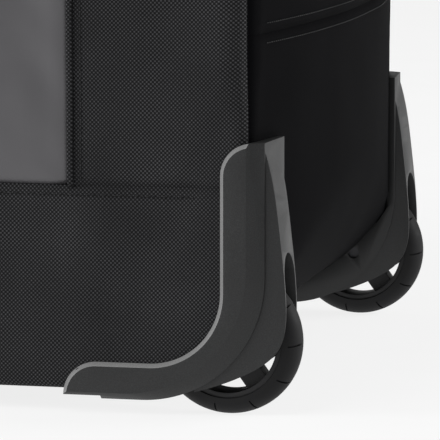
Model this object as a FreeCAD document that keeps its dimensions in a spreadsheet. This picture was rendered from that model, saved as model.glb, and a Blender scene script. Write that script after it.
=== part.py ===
import FreeCAD, Part
import math
import os
import re
import Sketcher
from types import SimpleNamespace
from FreeCAD import Placement, Rotation, Vector

# Wheeled hockey equipment bag, lying on its long bottom.
# +X runs to the wheel end, +Y to the side that the lid is hinged on, +Z up.
# The origin is on the floor, under the middle of the whole bag.

SIZES = [
    # the whole bag
    ("overall_length", 950, "tow grip to grab grip"),
    ("body_width", 452, "over the two side walls"),
    ("body_height", 430, "floor to the flat of the lid"),
    ("ground_gap", 14, "floor to the fabric bottom"),
    ("fabric", 4, "wall of foam-backed fabric"),
    ("end_bulge", 26, "how far an end wall swells past its corners"),
    ("end_round", 130, "radius where an end wall turns under the bag"),
    ("top_round", 34, "radius round the top edge"),
    ("border_drop", 6, "how far the top border runs down the walls"),
    ("corner_back", 15.5, "wheel axis to the corner of the wheel end"),
    ("side_seam", 139, "height of the seam along each side"),
    ("end_seam", 231, "height of the seam across each end"),
    ("tarp_inset", 110, "corner of the bag to the edge of the tarpaulin"),
    ("piping_diameter", 4, "piping at the edge of the tarpaulin"),
    ("board_thickness", 3, "stiffening board on the floor of the bag"),
    ("board_margin", 8, "board to the walls around it"),
    # lid and zip
    ("lid_length", 740, "opening along the bag"),
    ("lid_width", 320, "opening across the bag"),
    ("lid_corner", 60, "corner radius of the opening"),
    ("zip_gap", 0.8, "border to lid, where the teeth run"),
    ("tape_width", 13, "each half of the zip"),
    ("tape_thickness", 1.5, "tape with its teeth"),
    ("slider_length", 16, "zip slider"),
    ("slider_width", 11, "zip slider"),
    ("slider_depth", 6, "zip slider"),
    ("pull_length", 38, "zip pull"),
    ("pull_width", 10, "zip pull"),
    ("pull_thickness", 2, "zip pull"),
    # wheels
    ("wheel_diameter", 90, "over the tyre"),
    ("wheel_inset", 21, "side of the bag to the middle of a wheel"),
    ("tyre_width", 25, "tyre"),
    ("tyre_depth", 11, "tyre, from tread to rim"),
    ("rim_width", 22, "rim barrel"),
    ("rim_wall", 3, "rim barrel"),
    ("hub_diameter", 30, "hub barrel"),
    ("hub_recess", 0.5, "hub behind the side of the tyre"),
    ("spoke_width", 14, "spoke"),
    ("spoke_depth", 12, "spoke"),
    ("spoke_count", 5, "spokes in a wheel"),
    ("bearing_diameter", 22, "ball bearing"),
    ("bearing_width", 7, "ball bearing"),
    ("axle_diameter", 8, "axle"),
    ("axle_clearance", 0.05, "axle to bearing, on the radius"),
    ("washer_diameter", 14, "washer beside the hub"),
    ("side_play", 0.3, "free space beside a hub and its washers"),
    ("nut_width", 13, "axle nut across its flats"),
    ("nut_depth", 2.6, "thin axle nut"),
    # wheel guard
    ("guard_wall", 3, "moulding outside the side wall"),
    ("guard_sole", 5, "moulding under the fabric"),
    ("guard_top", 122, "wheel axis to the top of the guard"),
    ("guard_round", 76, "radius where the guard turns under the bag"),
    ("guard_back", 28.5, "wheel axis to the back of the guard at its inner edge"),
    ("band_back", 25, "wheel axis to the back edge of the corner band"),
    ("band_start", 14.8, "wheel axis to the front edge of the corner band"),
    ("band_depth", 6, "corner band, from the lip's face inwards"),
    ("band_rise", 4.5, "corner band, from the sole upwards"),
    ("lip_round", 20, "radius at the top of the L"),
    ("guard_reach", 99, "wheel axis to the tip of the lower leg"),
    ("leg_depth", 23, "lower leg of the guard"),
    ("leg_curve", 44, "inside radius of the L"),
    ("lip_width", 17, "upright leg of the L"),
    ("lip_bevel", 2.4, "bevel along the inside of the L"),
    ("flange_inset", 43, "side of the bag to the inner edge of a guard"),
    ("tyre_side_room", 1.8, "tyre to the side wall of its arch"),
    ("cheek", 2, "side wall of the wheel arch"),
    ("slot_top", 54, "wheel axis to the top of the wheel's slot"),
    ("arch_top", 118, "wheel axis to the top of the wheel arch"),
    ("wheel_clearance", 2.5, "round the tyre"),
    ("well_wall", 2, "liner round the wheel, inside the bag"),
    ("screw_diameter", 4, "guard and foot screws"),
    ("screw_head", 8, "guard and foot screws"),
    # handles and feet
    ("webbing_width", 38, "handle webbing"),
    ("webbing", 3, "handle webbing, doubled and sewn"),
    ("strap_spacing", 300, "between the two load straps"),
    ("carry_drop", 150, "how far a carry handle hangs"),
    ("carry_height", 360, "floor to a carry handle's fold"),
    ("strap_top", 386, "floor to the top of the load straps"),
    ("handle_gap", 0.6, "free space behind handles and straps"),
    ("grip_length", 120, "hand grips"),
    ("wrap_depth", 9, "hand grip across the webbing's thickness"),
    ("wrap_margin", 4, "hand grip past each edge of the webbing"),
    ("end_handle_span", 150, "between the legs of an end handle"),
    ("end_handle_drop", 70, "how far an end handle hangs"),
    ("end_handle_height", 350, "floor to an end handle's fold"),
    ("anchor_height", 50, "patch that an end handle is sewn to"),
    ("turn_radius", 30, "inside corner of a handle's webbing"),
    ("foot_length", 90, "skid foot"),
    ("foot_width", 36, "skid foot"),
    ("foot_round", 10, "upright corners of a skid foot"),
    ("foot_spread", 330, "between the middles of the feet"),
    ("foot_setback", 104, "corner of the handle end to the feet"),
]

doc = FreeCAD.newDocument("hockey_bag")
sheet = doc.addObject("Spreadsheet::Sheet", "Sizes")
for row, (alias, number, note) in enumerate(SIZES, start=1):
    sheet.set(f"A{row}", note)
    sheet.set(f"B{row}", str(number))
    sheet.setAlias(f"B{row}", alias)
doc.recompute()
ALIASES = {alias for alias, number, note in SIZES}
size = SimpleNamespace(**{alias: float(sheet.get(alias)) for alias in ALIASES})
pieces = []


def expression(words):
    """Turn 'lid_length / 2' into an expression on the sheet's cells."""
    return re.sub(r"[a-z_]+", lambda found: "Sizes." + found[0] if found[0] in ALIASES else found[0], words)


def bind(thing, **properties):
    for name, words in properties.items():
        thing.setExpression(name, expression(words))


def move(thing, x="0", y="0", z="0"):
    for axis, words in (("x", x), ("y", y), ("z", z)):
        thing.setExpression(f".Placement.Base.{axis}", expression(words))


def keep(thing, label):
    thing.Label = label
    pieces.append(thing)
    return thing


def feature(label, shape):
    thing = doc.addObject("Part::Feature", label)
    thing.Shape = shape
    return keep(thing, label)


def block(name, length, width, height, x, y, z):
    """A box whose near lower left corner is at x, y, z."""
    thing = doc.addObject("Part::Box", name)
    bind(thing, Length=length, Width=width, Height=height)
    move(thing, x, y, z)
    return thing


def cylinder(name, radius, height, x, y, z, along="Z"):
    thing = doc.addObject("Part::Cylinder", name)
    bind(thing, Radius=radius, Height=height)
    turns = {"X": Rotation(Vector(0, 1, 0), 90), "Y": Rotation(Vector(1, 0, 0), -90), "Z": Rotation()}
    thing.Placement = Placement(Vector(), turns[along])
    move(thing, x, y, z)
    return thing


def cut(name, base, tool):
    thing = doc.addObject("Part::Cut", name)
    thing.Base, thing.Tool = base, tool
    return thing


def group(name, members):
    """Separate solids that are one node."""
    thing = doc.addObject("Part::Compound", name)
    thing.Links = members
    return thing


# ---------------------------------------------------------------- places
EDGE = 500.0  # reaches past the bag from any cutting plane
CREST = 0.5  # keeps the rounded outlines from only grazing the walls that they trim
wheel_radius = size.wheel_diameter / 2
side_y = size.body_width / 2
wheel_y = side_y - size.wheel_inset
flange_y = side_y - size.flange_inset
fin_width = size.tyre_width + 2 * size.tyre_side_room + 2 * size.cheek
corner_x = size.overall_length / 2 - size.handle_gap - size.wrap_depth - size.end_bulge
handle_x = -corner_x
wheel_x = corner_x - size.corner_back
well_front = wheel_x - wheel_radius - 2 * size.wheel_clearance - size.well_wall
well_top = wheel_radius + size.slot_top + 2 * size.well_wall
arch_top = wheel_radius + size.arch_top
CORNER_X = "(overall_length / 2 - handle_gap - wrap_depth - end_bulge)"
WHEEL_X = CORNER_X + " - corner_back"
HUB_WIDTH = "(tyre_width - 2 * hub_recess)"
FIN_WIDTH = "(tyre_width + 2 * tyre_side_room + 2 * cheek)"
SIDES = {"right": -1, "left": 1}


def prism(points_and_arcs, direction):
    """Extrude a closed outline given as points, or as triples of points for arcs."""
    edges = []
    for part in points_and_arcs:
        if len(part) == 3:
            edges.append(Part.Arc(*part).toShape())
        elif (part[1] - part[0]).Length > 1e-6:
            edges.append(Part.LineSegment(*part).toShape())
    return Part.Face(Part.Wire(edges)).extrude(direction)


def region(x0, x1, y0, y1, z0, z1):
    return Part.makeBox(x1 - x0, y1 - y0, z1 - z0, Vector(x0, y0, z0))


def slab(side, y0, y1, x0=-EDGE, x1=EDGE, z0=-EDGE, z1=EDGE):
    """The part of space between two distances from the middle plane, on one side."""
    low, high = sorted((side * y0, side * y1))
    return region(x0, x1, low, high, z0, z1)


def quarter(centre, radius, start):
    """A quarter circle in the XZ plane from an angle in degrees, as three points."""
    angles = (math.radians(start + step) for step in (0, 45, 90))
    return tuple(centre + radius * Vector(math.cos(a), 0, math.sin(a)) for a in angles)


def bag_form(wall, sole):
    """The bag's full form: grown by wall on the walls and by sole underneath."""
    half = side_y + wall
    near, far = handle_x - wall, corner_x + wall
    low, high = size.ground_gap - sole, size.body_height + wall
    plan = prism([(Vector(near, -half), Vector(far, -half)),
                  (Vector(far, -half), Vector(far + size.end_bulge, 0), Vector(far, half)),
                  (Vector(far, half), Vector(near, half)),
                  (Vector(near, half), Vector(near - size.end_bulge, 0), Vector(near, -half))],
                 Vector(0, 0, 2 * EDGE))
    x0, x1 = near - size.end_bulge - CREST, far + size.end_bulge + CREST
    under, over = size.end_round + wall, size.top_round + wall
    corners = [quarter(Vector(x1 - under, 0, low + under), under, -90),
               quarter(Vector(x1 - over, 0, high - over), over, 0),
               quarter(Vector(x0 + over, 0, high - over), over, 90),
               quarter(Vector(x0 + under, 0, low + under), under, 180)]
    outline = []
    for this, following in zip(corners, corners[1:] + corners[:1]):
        outline += [this, (this[2], following[0])]
    profile = prism(outline, Vector(0, 2 * EDGE, 0))
    profile.translate(Vector(0, -EDGE, 0))
    half += CREST
    across = [Vector(0, -half, low), Vector(0, half, low), Vector(0, half, high - over),
              Vector(0, half - over, high), Vector(0, over - half, high), Vector(0, -half, high - over)]
    slope = over * math.sqrt(0.5)
    right_arc = (across[2], Vector(0, half - over + slope, high - over + slope), across[3])
    left_arc = (across[4], Vector(0, over - half - slope, high - over + slope), across[5])
    section = prism([(across[0], across[1]), (across[1], across[2]), right_arc,
                     (across[3], across[4]), left_arc, (across[5], across[0])], Vector(2 * EDGE, 0, 0))
    section.translate(Vector(-EDGE, 0, 0))
    return plan.common(profile).common(section)


# ---------------------------------------------------------------- fabric shell
outer_form = bag_form(0, 0)
shell = outer_form.cut(bag_form(-size.fabric, -size.fabric))
wall_top = size.body_height - size.top_round - size.border_drop
flat_low = handle_x - size.end_bulge - CREST + size.end_round
flat_high = corner_x + size.end_bulge + CREST - size.end_round
inside_y = side_y - size.fabric
tarp_low = handle_x + size.tarp_inset
tarp_high = corner_x - size.tarp_inset
wells = [slab(side, flange_y, EDGE, x0=well_front, z1=well_top) for side in SIDES.values()]
arches = [slab(side, wheel_y - fin_width / 2, EDGE, x0=corner_x, z1=arch_top) for side in SIDES.values()]
between = region(-EDGE, EDGE, -inside_y, inside_y, 0, wall_top)

for name, side in SIDES.items():
    wall = shell.common(slab(side, inside_y, EDGE, z1=wall_top))
    feature(f"lower_side_{name}", wall.common(region(-EDGE, EDGE, -EDGE, EDGE, 0, size.side_seam)))
    for panel, x0, x1 in (("handle_corner", -EDGE, tarp_low), ("tarpaulin", tarp_low, tarp_high),
                          ("wheel_corner", tarp_high, EDGE)):
        feature(f"{panel}_{name}", wall.common(region(x0, x1, -EDGE, EDGE, size.side_seam, wall_top)))

bottom = shell.common(between).common(region(flat_low, flat_high, -EDGE, EDGE, 0, size.side_seam))
feature("bottom_panel", bottom.cut(wells))
for end, x0, x1 in (("handle_end", -EDGE, flat_low), ("wheel_end", flat_high, EDGE)):
    wall = shell.common(between)
    feature(f"{end}_lower", wall.common(region(x0, x1, -EDGE, EDGE, 0, size.end_seam)).cut(wells + arches))
    feature(f"{end}_upper", wall.common(region(x0, x1, -EDGE, EDGE, size.end_seam, wall_top)))


def lid_form(margin, z0, z1):
    """The outline of the opening, grown by margin, between two heights."""
    half_x, half_y = size.lid_length / 2 + margin, size.lid_width / 2 + margin
    form = region(-half_x, half_x, -half_y, half_y, z0, z1)
    upright = [edge for edge in form.Edges if edge.BoundBox.ZLength > (z1 - z0) / 2]
    return form.makeFillet(size.lid_corner + margin, upright)


top = shell.common(region(-EDGE, EDGE, -EDGE, EDGE, wall_top, EDGE))
feature("top_border", top.cut(lid_form(size.zip_gap, size.side_seam, EDGE)))
feature("lid", top.common(lid_form(0, size.side_seam, EDGE)))

board = doc.addObject("Part::Box", "board_blank")
board_start = "(" + CORNER_X + " + end_bulge - end_round)"
bind(board, Length="2 * " + board_start,
     Width="body_width - 2 * fabric - 2 * board_margin", Height="board_thickness")
move(board, "-" + board_start, "board_margin + fabric - body_width / 2", "ground_gap + fabric")
keep(board, "base_board")

for name, side in SIDES.items():
    piping_y = f"{side} * (body_width / 2 + piping_diameter / 2 + handle_gap / 4)"
    rods = [cylinder(f"piping_{name}_{end}", "piping_diameter / 2",
                     "body_height - top_round - border_drop - side_seam", x, piping_y, "side_seam")
            for end, x in (("handle", "tarp_inset - " + CORNER_X), ("wheel", CORNER_X + " - tarp_inset"))]
    keep(group(f"piping_group_{name}", rods), f"tarpaulin_piping_{name}")

# ---------------------------------------------------------------- zip
tape_z = size.body_height
hinge_y = size.lid_width / 2
open_sides = region(-EDGE, EDGE, -EDGE, hinge_y - size.lid_corner, -EDGE, EDGE)


def tape(inner, outer):
    ring = lid_form(outer, tape_z, tape_z + size.tape_thickness)
    return ring.cut(lid_form(inner, 0, EDGE)).common(open_sides)


feature("zip_tape_border", tape(size.zip_gap, size.tape_width))
feature("zip_tape_lid", tape(-size.tape_width, 0))

SLIDERS = {"front": 1, "back": -1}
slider_z = "(body_height + tape_thickness + handle_gap / 2)"
slider_y = "(-lid_width / 2 - zip_gap - slider_width)"
for name, way in SLIDERS.items():
    start = "slider_length / 2" if way > 0 else "-3 * slider_length / 2"
    body = block(f"slider_block_{name}", "slider_length", "slider_width", "slider_depth",
                 start, slider_y, slider_z)
    rounded = doc.addObject("Part::Fillet", f"slider_round_{name}")
    rounded.Base = body
    doc.recompute()
    rounded.Edges = [(number + 1, size.slider_depth / 4, size.slider_depth / 4)
                     for number, edge in enumerate(body.Shape.Edges) if edge.BoundBox.ZMin > tape_z + 3]
    keep(rounded, f"zip_slider_{name}")
    start = "slider_length" if way > 0 else "-slider_length - pull_length"
    pull = block(f"pull_block_{name}", "pull_length", "pull_width", "pull_thickness", start,
                 "-lid_width / 2 - zip_gap - slider_width / 2 - pull_width / 2",
                 slider_z + " + slider_depth + handle_gap / 2")
    keep(pull, f"zip_pull_{name}")

# ---------------------------------------------------------------- wheels


def origin_plane(body, role):
    return next(item for item in body.Origin.OriginFeatures if item.Role == role)


def sketch_on(body, name, role="XZ_Plane"):
    sketch = body.newObject("Sketcher::SketchObject", name)
    sketch.AttachmentSupport = (origin_plane(body, role), "")
    sketch.MapMode = "FlatFace"
    return sketch


def ring_sketch(body, name, radii):
    """Circles round the wheel's axis, each with its radius bound to the sheet."""
    sketch = sketch_on(body, name)
    for number, words in enumerate(radii):
        sketch.addGeometry(Part.Circle(Vector(), Vector(0, 0, 1), 20 + number), False)
        sketch.addConstraint(Sketcher.Constraint("Coincident", number, 3, -1, 1))
        index = sketch.addConstraint(Sketcher.Constraint("Radius", number, 20 + number))
        sketch.setExpression(f"Constraints[{index}]", expression(words))
    return sketch


def pad_both_ways(body, name, sketch, length):
    pad = body.newObject("PartDesign::Pad", name)
    pad.Profile = sketch
    pad.Midplane = True
    bind(pad, Length=length)
    return pad


def spoke_sketch(body, name):
    """One spoke from the hub barrel to the rim barrel, upright on the axis."""
    sketch = sketch_on(body, name)
    corners = [Vector(-7, 10), Vector(7, 10), Vector(7, 32), Vector(-7, 32)]
    for start, end in zip(corners, corners[1:] + corners[:1]):
        sketch.addGeometry(Part.LineSegment(start, end), False)
    for this, following in ((0, 1), (1, 2), (2, 3), (3, 0)):
        sketch.addConstraint(Sketcher.Constraint("Coincident", this, 2, following, 1))
    for line, kind in ((1, "Vertical"), (2, "Horizontal"), (3, "Vertical")):
        sketch.addConstraint(Sketcher.Constraint(kind, line))
    sketch.addConstraint(Sketcher.Constraint("Symmetric", 0, 1, 0, 2, -2))
    for kind, geometry, words in (
            ("DistanceX", (0, 1, 0, 2), "spoke_width"),
            ("DistanceY", (-1, 1, 0, 1), "hub_diameter / 2 - rim_wall"),
            ("DistanceY", (-1, 1, 2, 1), "wheel_diameter / 2 - tyre_depth - rim_wall / 2")):
        index = sketch.addConstraint(Sketcher.Constraint(kind, *geometry, 10.0))
        sketch.setExpression(f"Constraints[{index}]", expression(words))
    return sketch


def make_rim(name, side):
    body = doc.addObject("PartDesign::Body", f"rim_body_{name}")
    rim_radius = "wheel_diameter / 2 - tyre_depth"
    barrel = ring_sketch(body, f"barrel_{name}", [rim_radius, rim_radius + " - rim_wall"])
    pad_both_ways(body, f"barrel_pad_{name}", barrel, "rim_width")
    spoke = pad_both_ways(body, f"spoke_pad_{name}", spoke_sketch(body, f"spoke_{name}"), "spoke_depth")
    spokes = body.newObject("PartDesign::PolarPattern", f"spokes_{name}")
    spokes.Originals = [spoke]
    spokes.Axis = (origin_plane(body, "Y_Axis"), [""])
    spokes.Angle = 360
    bind(spokes, Occurrences="spoke_count")
    body.Tip = spokes
    hub = ring_sketch(body, f"hub_{name}", ["hub_diameter / 2", "bearing_diameter / 2"])
    pad_both_ways(body, f"hub_pad_{name}", hub, HUB_WIDTH)
    bore = ring_sketch(body, f"bore_{name}", ["bearing_diameter / 2"])
    pocket = body.newObject("PartDesign::Pocket", f"bore_cut_{name}")
    pocket.Profile = bore
    pocket.Midplane = True
    bind(pocket, Length="2 * tyre_width")
    body.Tip = pocket
    move(body, WHEEL_X, f"{side} * (body_width / 2 - wheel_inset)", "wheel_diameter / 2")
    return keep(body, f"rim_{name}")


def make_tyre(name, side):
    """A round tread: the outer part of a circle, turned about the axle."""
    body = doc.addObject("PartDesign::Body", f"tyre_body_{name}")
    sketch = sketch_on(body, f"tyre_profile_{name}", "XY_Plane")
    round_radius = size.tyre_width / 2
    middle = wheel_radius - round_radius
    bead = wheel_radius - size.tyre_depth
    reach = math.sqrt(round_radius ** 2 - (bead - middle) ** 2)
    angle = math.atan2(reach, bead - middle)
    sketch.addGeometry(Part.ArcOfCircle(Part.Circle(Vector(middle, 0), Vector(0, 0, 1), round_radius),
                                        -angle, angle), False)
    sketch.addGeometry(Part.LineSegment(Vector(bead, reach), Vector(bead, -reach)), False)
    sketch.addConstraint(Sketcher.Constraint("Coincident", 0, 2, 1, 1))
    sketch.addConstraint(Sketcher.Constraint("Coincident", 0, 1, 1, 2))
    sketch.addConstraint(Sketcher.Constraint("PointOnObject", 0, 3, -1))
    sketch.addConstraint(Sketcher.Constraint("Vertical", 1))
    for kind, geometry, words in (
            ("Radius", (0,), "tyre_width / 2"),
            ("DistanceX", (-1, 1, 0, 3), "wheel_diameter / 2 - tyre_width / 2"),
            ("DistanceX", (-1, 1, 1, 1), "wheel_diameter / 2 - tyre_depth")):
        index = sketch.addConstraint(Sketcher.Constraint(kind, *geometry, 10.0))
        sketch.setExpression(f"Constraints[{index}]", expression(words))
    turned = body.newObject("PartDesign::Revolution", f"tyre_turn_{name}")
    turned.Profile = sketch
    turned.ReferenceAxis = (sketch, ["V_Axis"])
    turned.Angle = 360
    move(body, WHEEL_X, f"{side} * (body_width / 2 - wheel_inset)", "wheel_diameter / 2")
    return keep(body, f"tyre_{name}")


def sleeve(name, outer, inner, length, y):
    """A tube on the wheel's axle that starts at y and runs along +Y."""
    place = (WHEEL_X, y, "wheel_diameter / 2", "Y")
    return cut(name, cylinder(name + "_outside", outer, length, *place),
               cylinder(name + "_inside", inner, length, *place))


for name, side in SIDES.items():
    middle = f"{side} * (body_width / 2 - wheel_inset)"
    make_tyre(name, side)
    make_rim(name, side)
    bore = "axle_diameter / 2 + axle_clearance"
    bearing_offsets = (("low", f" - {HUB_WIDTH} / 2"),
                       ("high", f" + {HUB_WIDTH} / 2 - bearing_width"))
    bearings = [sleeve(f"bearing_{name}_{end}", "bearing_diameter / 2", bore, "bearing_width", middle + offset)
                for end, offset in bearing_offsets]
    keep(group(f"bearing_group_{name}", bearings), f"bearings_{name}")
    keep(sleeve(f"spacer_{name}", "axle_diameter", bore, HUB_WIDTH + " - 2 * bearing_width",
                f"{middle} - {HUB_WIDTH} / 2 + bearing_width"), f"bearing_spacer_{name}")
    washer = "(tyre_side_room + hub_recess - side_play)"
    washers = [sleeve(f"washer_{name}_{end}", "washer_diameter / 2", bore, washer, middle + offset)
               for end, offset in (("low", f" - {FIN_WIDTH} / 2 + cheek"),
                                   ("high", f" + {HUB_WIDTH} / 2 + side_play"))]
    keep(group(f"washer_group_{name}", washers), f"axle_washers_{name}")
    inner_nut = " - nut_depth" if side > 0 else ""
    start = f"{middle} - {FIN_WIDTH} / 2" + inner_nut
    nut_low = f"{side} * (body_width / 2 - wheel_inset - {FIN_WIDTH} / 2)" + inner_nut
    axle = cylinder(f"axle_rod_{name}", "axle_diameter / 2", FIN_WIDTH + " + nut_depth",
                    WHEEL_X, start, "wheel_diameter / 2", "Y")
    keep(axle, f"axle_{name}")
    blank = doc.addObject("Part::Prism", f"nut_blank_{name}")
    blank.Polygon = 6
    bind(blank, Circumradius="nut_width / sqrt(3)", Height="nut_depth")
    blank.Placement = Placement(Vector(), Rotation(Vector(1, 0, 0), -90))
    move(blank, WHEEL_X, nut_low, "wheel_diameter / 2")
    hole = cylinder(f"nut_hole_{name}", "axle_diameter / 2", "nut_depth",
                    WHEEL_X, nut_low, "wheel_diameter / 2", "Y")
    keep(cut(f"nut_{name}", blank, hole), f"axle_nut_{name}")

# ---------------------------------------------------------------- wheel guards
guard_height = wheel_radius + size.guard_top
sole = size.ground_gap - size.guard_sole - wheel_radius


def wheel_point(x, z, y=0):
    """A point measured from the wheel's axis along the bag and upwards."""
    return Vector(wheel_x + x, y, wheel_radius + z)


def guard_outline(y, back, low):
    """The guard's outline at one distance from the middle plane: a straight back that turns under."""
    radius = size.guard_round
    front = -size.guard_reach - size.leg_depth
    turn = quarter(wheel_point(back - radius, low + radius, y), radius, -90)
    low_front, high_front = wheel_point(front, low, y), wheel_point(front, size.guard_top, y)
    high_back = wheel_point(back, size.guard_top, y)
    edges = [Part.Arc(*turn).toShape()]
    corners = [turn[2], high_back, high_front, low_front, turn[0]]
    edges += [Part.LineSegment(a, b).toShape() for a, b in zip(corners, corners[1:])]
    return Part.Wire(edges)


def guard_form(side):
    """The solid form of a guard: three outlines joined in turn, the outer pair by the corner band."""
    lip_y = side_y + size.guard_wall
    places = ((flange_y, size.guard_back, sole),
              (lip_y - size.band_depth, size.band_back, sole),
              (lip_y, size.band_start, sole + size.band_rise))
    return Part.makeLoft([guard_outline(side * y, back, low) for y, back, low in places], True, True)


def lip_form():
    """The L seen from the side: upright leg, curved inside corner and lower leg with a round tip."""
    inner = size.corner_back - size.lip_width
    leg_top = sole + size.leg_depth
    tip = -size.guard_reach
    tip_radius = size.leg_depth - 2
    top = quarter(wheel_point(inner + size.lip_round, size.guard_top - size.lip_round), size.lip_round, 90)
    bend = tuple(reversed(quarter(wheel_point(inner - size.leg_curve, leg_top + size.leg_curve),
                                  size.leg_curve, -90)))
    nose = quarter(wheel_point(tip + tip_radius, leg_top - tip_radius), tip_radius, 90)
    corners = [wheel_point(tip, -EDGE), wheel_point(EDGE, -EDGE), wheel_point(EDGE, size.guard_top)]
    outline = [top, (top[2], bend[0]), bend, (bend[2], nose[0]), nose, (nose[2], corners[0]),
               (corners[0], corners[1]), (corners[1], corners[2]), (corners[2], top[0])]
    return prism(outline, Vector(0, 2 * EDGE, 0))


# The arch behind and under the wheel, as distances along the bag and upwards from the axis.
ARCH_SWELL = [(29, 101), (33.5, 70), (37.5, 27), (37.6, 15), (33, -3), (15.3, -17.5), (-6.3, -26.6), (-18.7, -30.4)]


def arch_form():
    """The wheel arch seen from the side: it swells behind the tyre and stops short of the ground."""
    back = [wheel_point(size.band_back - 0.5, size.arch_top)]
    back += [wheel_point(x, z) for x, z in ARCH_SWELL]
    curve = Part.BSplineCurve()
    curve.interpolate(back)
    inner_low = wheel_point(ARCH_SWELL[-1][0], size.slot_top + size.well_wall)
    inner_step = wheel_point(size.corner_back, size.slot_top + size.well_wall)
    inner_top = wheel_point(size.corner_back, size.arch_top)
    edges = [curve.toShape()]
    corners = [back[-1], inner_low, inner_step, inner_top, back[0]]
    edges += [Part.LineSegment(a, b).toShape() for a, b in zip(corners, corners[1:])]
    return Part.Face(Part.Wire(edges)).extrude(Vector(0, fin_width, 0))


def middle_of(edge):
    return edge.valueAt((edge.FirstParameter + edge.LastParameter) / 2)


def make_guard(name, side):
    form = guard_form(side)
    lip = lip_form()
    lip.translate(Vector(0, -EDGE, 0))
    lip_edge = lip
    lip = form.common(slab(side, side_y, EDGE)).common(lip)
    face_y = side * (side_y + size.guard_wall)
    inside_edges = [edge for edge in lip.Edges
                    if abs(edge.BoundBox.Center.y - face_y) < 1e-4 and edge.BoundBox.YLength < 1e-4
                    and lip_edge.Shells[0].distToShape(Part.Vertex(middle_of(edge)))[0] < 1e-4]
    lip = lip.makeChamfer(size.lip_bevel, inside_edges)
    back = form.common(slab(side, 0, side_y, x0=wheel_x - size.guard_reach + size.leg_depth))
    arch = arch_form()
    arch.translate(Vector(0, side * wheel_y - fin_width / 2, 0))
    fabric_hole = slab(side, side_y - size.cheek - fin_width, inside_y, x0=corner_x, z1=arch_top)
    guard = lip.fuse([back.cut(outer_form), arch.cut(shell.cut(fabric_hole))])
    half_slot = fin_width / 2 - size.cheek
    low_y, high_y = side * wheel_y - half_slot, side * wheel_y + half_slot
    room = Part.makeCylinder(wheel_radius + size.wheel_clearance, 2 * half_slot,
                             Vector(wheel_x, low_y, wheel_radius), Vector(0, 1, 0))
    slot_z = wheel_radius + size.slot_top - half_slot
    slot = region(wheel_x, wheel_x + EDGE, low_y, high_y, 0, slot_z)
    crown = Part.makeCylinder(half_slot, EDGE, Vector(wheel_x, side * wheel_y, slot_z), Vector(1, 0, 0))
    inner_room = region(wheel_x - size.guard_reach, corner_x, low_y, high_y,
                        wheel_radius, wheel_radius + size.slot_top)
    bore = Part.makeCylinder(size.axle_diameter / 2, size.body_width,
                             Vector(wheel_x, -inside_y, wheel_radius), Vector(0, 1, 0))
    bore = bore.common(slab(side, 0, inside_y))
    return feature(f"wheel_guard_{name}", guard.cut([room, slot, crown, inner_room, bore]))


def make_well(name, side):
    """The liner that closes the bag round the wheel: inner side, front and top."""
    outside = slab(side, flange_y, inside_y, x0=well_front, x1=corner_x, z0=size.ground_gap, z1=well_top)
    inside = slab(side, flange_y + size.well_wall, EDGE, x0=well_front + size.well_wall, z0=-EDGE,
                  z1=well_top - size.well_wall)
    return feature(f"wheel_well_{name}", outside.common(bag_form(0, 0)).cut(inside))


for name, side in SIDES.items():
    make_guard(name, side)
    make_well(name, side)

# ---------------------------------------------------------------- handles


def loop_form(span, drop, across):
    """A hanging U of webbing in the XZ plane, with its fold at the origin, turned to run across."""
    half = size.webbing_width / 2
    bars = []
    for grow in (half, -half):
        x, low = span / 2 + grow, -drop + half - grow
        radius = size.turn_radius + half + grow
        bars.append(prism([(Vector(-x, 0, 0), Vector(-x, 0, low + radius)),
                           quarter(Vector(radius - x, 0, low + radius), radius, 180),
                           (Vector(radius - x, 0, low), Vector(x - radius, 0, low)),
                           quarter(Vector(x - radius, 0, low + radius), radius, 270),
                           (Vector(x, 0, low + radius), Vector(x, 0, 0)),
                           (Vector(x, 0, 0), Vector(-x, 0, 0))], Vector(0, size.webbing, 0)))
    loop = bars[0].cut(bars[1])
    loop.translate(Vector(0, -size.webbing / 2, 0))
    folds = [Part.makeCylinder(size.webbing / 2, size.webbing_width,
                               Vector(x - half, 0, 0), Vector(1, 0, 0))
             for x in (-span / 2, span / 2)]
    loop = loop.fuse(folds).removeSplitter()
    if across:
        loop.rotate(Vector(), Vector(0, 0, 1), 90)
    return loop


def grip_form(drop, across):
    """A flat hand grip round the bottom run of a loop, open where the webbing passes."""
    height = size.webbing_width + 2 * size.wrap_margin
    form = Part.makeBox(size.grip_length, size.wrap_depth, height,
                        Vector(-size.grip_length / 2, -size.wrap_depth / 2, -drop - size.wrap_margin))
    long_edges = [edge for edge in form.Edges if edge.BoundBox.XLength > size.grip_length / 2]
    form = form.makeFillet(size.wrap_depth / 3, long_edges)
    if across:
        form.rotate(Vector(), Vector(0, 0, 1), 90)
    return form


def make_handle(loop_name, grip_name, span, drop, fold, across):
    loop, grip = loop_form(span, drop, across), grip_form(drop, across)
    loop.translate(fold)
    grip.translate(fold)
    feature(loop_name, loop)
    feature(grip_name, grip.cut(loop))


grip_reach = size.handle_gap + size.wrap_depth / 2
for name, side in SIDES.items():
    fold = Vector(0, side * (side_y + grip_reach), size.carry_height)
    make_handle(f"carry_handle_{name}", f"carry_grip_{name}",
                size.strap_spacing, size.carry_drop, fold, False)

ENDS = {"tow": -1, "grab": 1}
patches = []
for name, way in ENDS.items():
    fold_x = way * (corner_x + size.end_bulge + grip_reach)
    fold = Vector(fold_x, 0, size.end_handle_height)
    make_handle(f"{name}_handle", f"{name}_grip", size.end_handle_span, size.end_handle_drop, fold, True)
    behind = fold_x - way * (size.webbing / 2 + size.handle_gap)
    for leg in (-1, 1):
        low, high = sorted((behind, way * corner_x))
        y = leg * size.end_handle_span / 2
        half = size.webbing_width / 2 + size.wrap_margin
        patch = region(low, high, y - half, y + half, size.end_handle_height - size.anchor_height / 2,
                       size.end_handle_height + size.anchor_height / 2)
        patches.append(patch.cut(outer_form))
feature("end_handle_patches", Part.makeCompound(patches))

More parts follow.
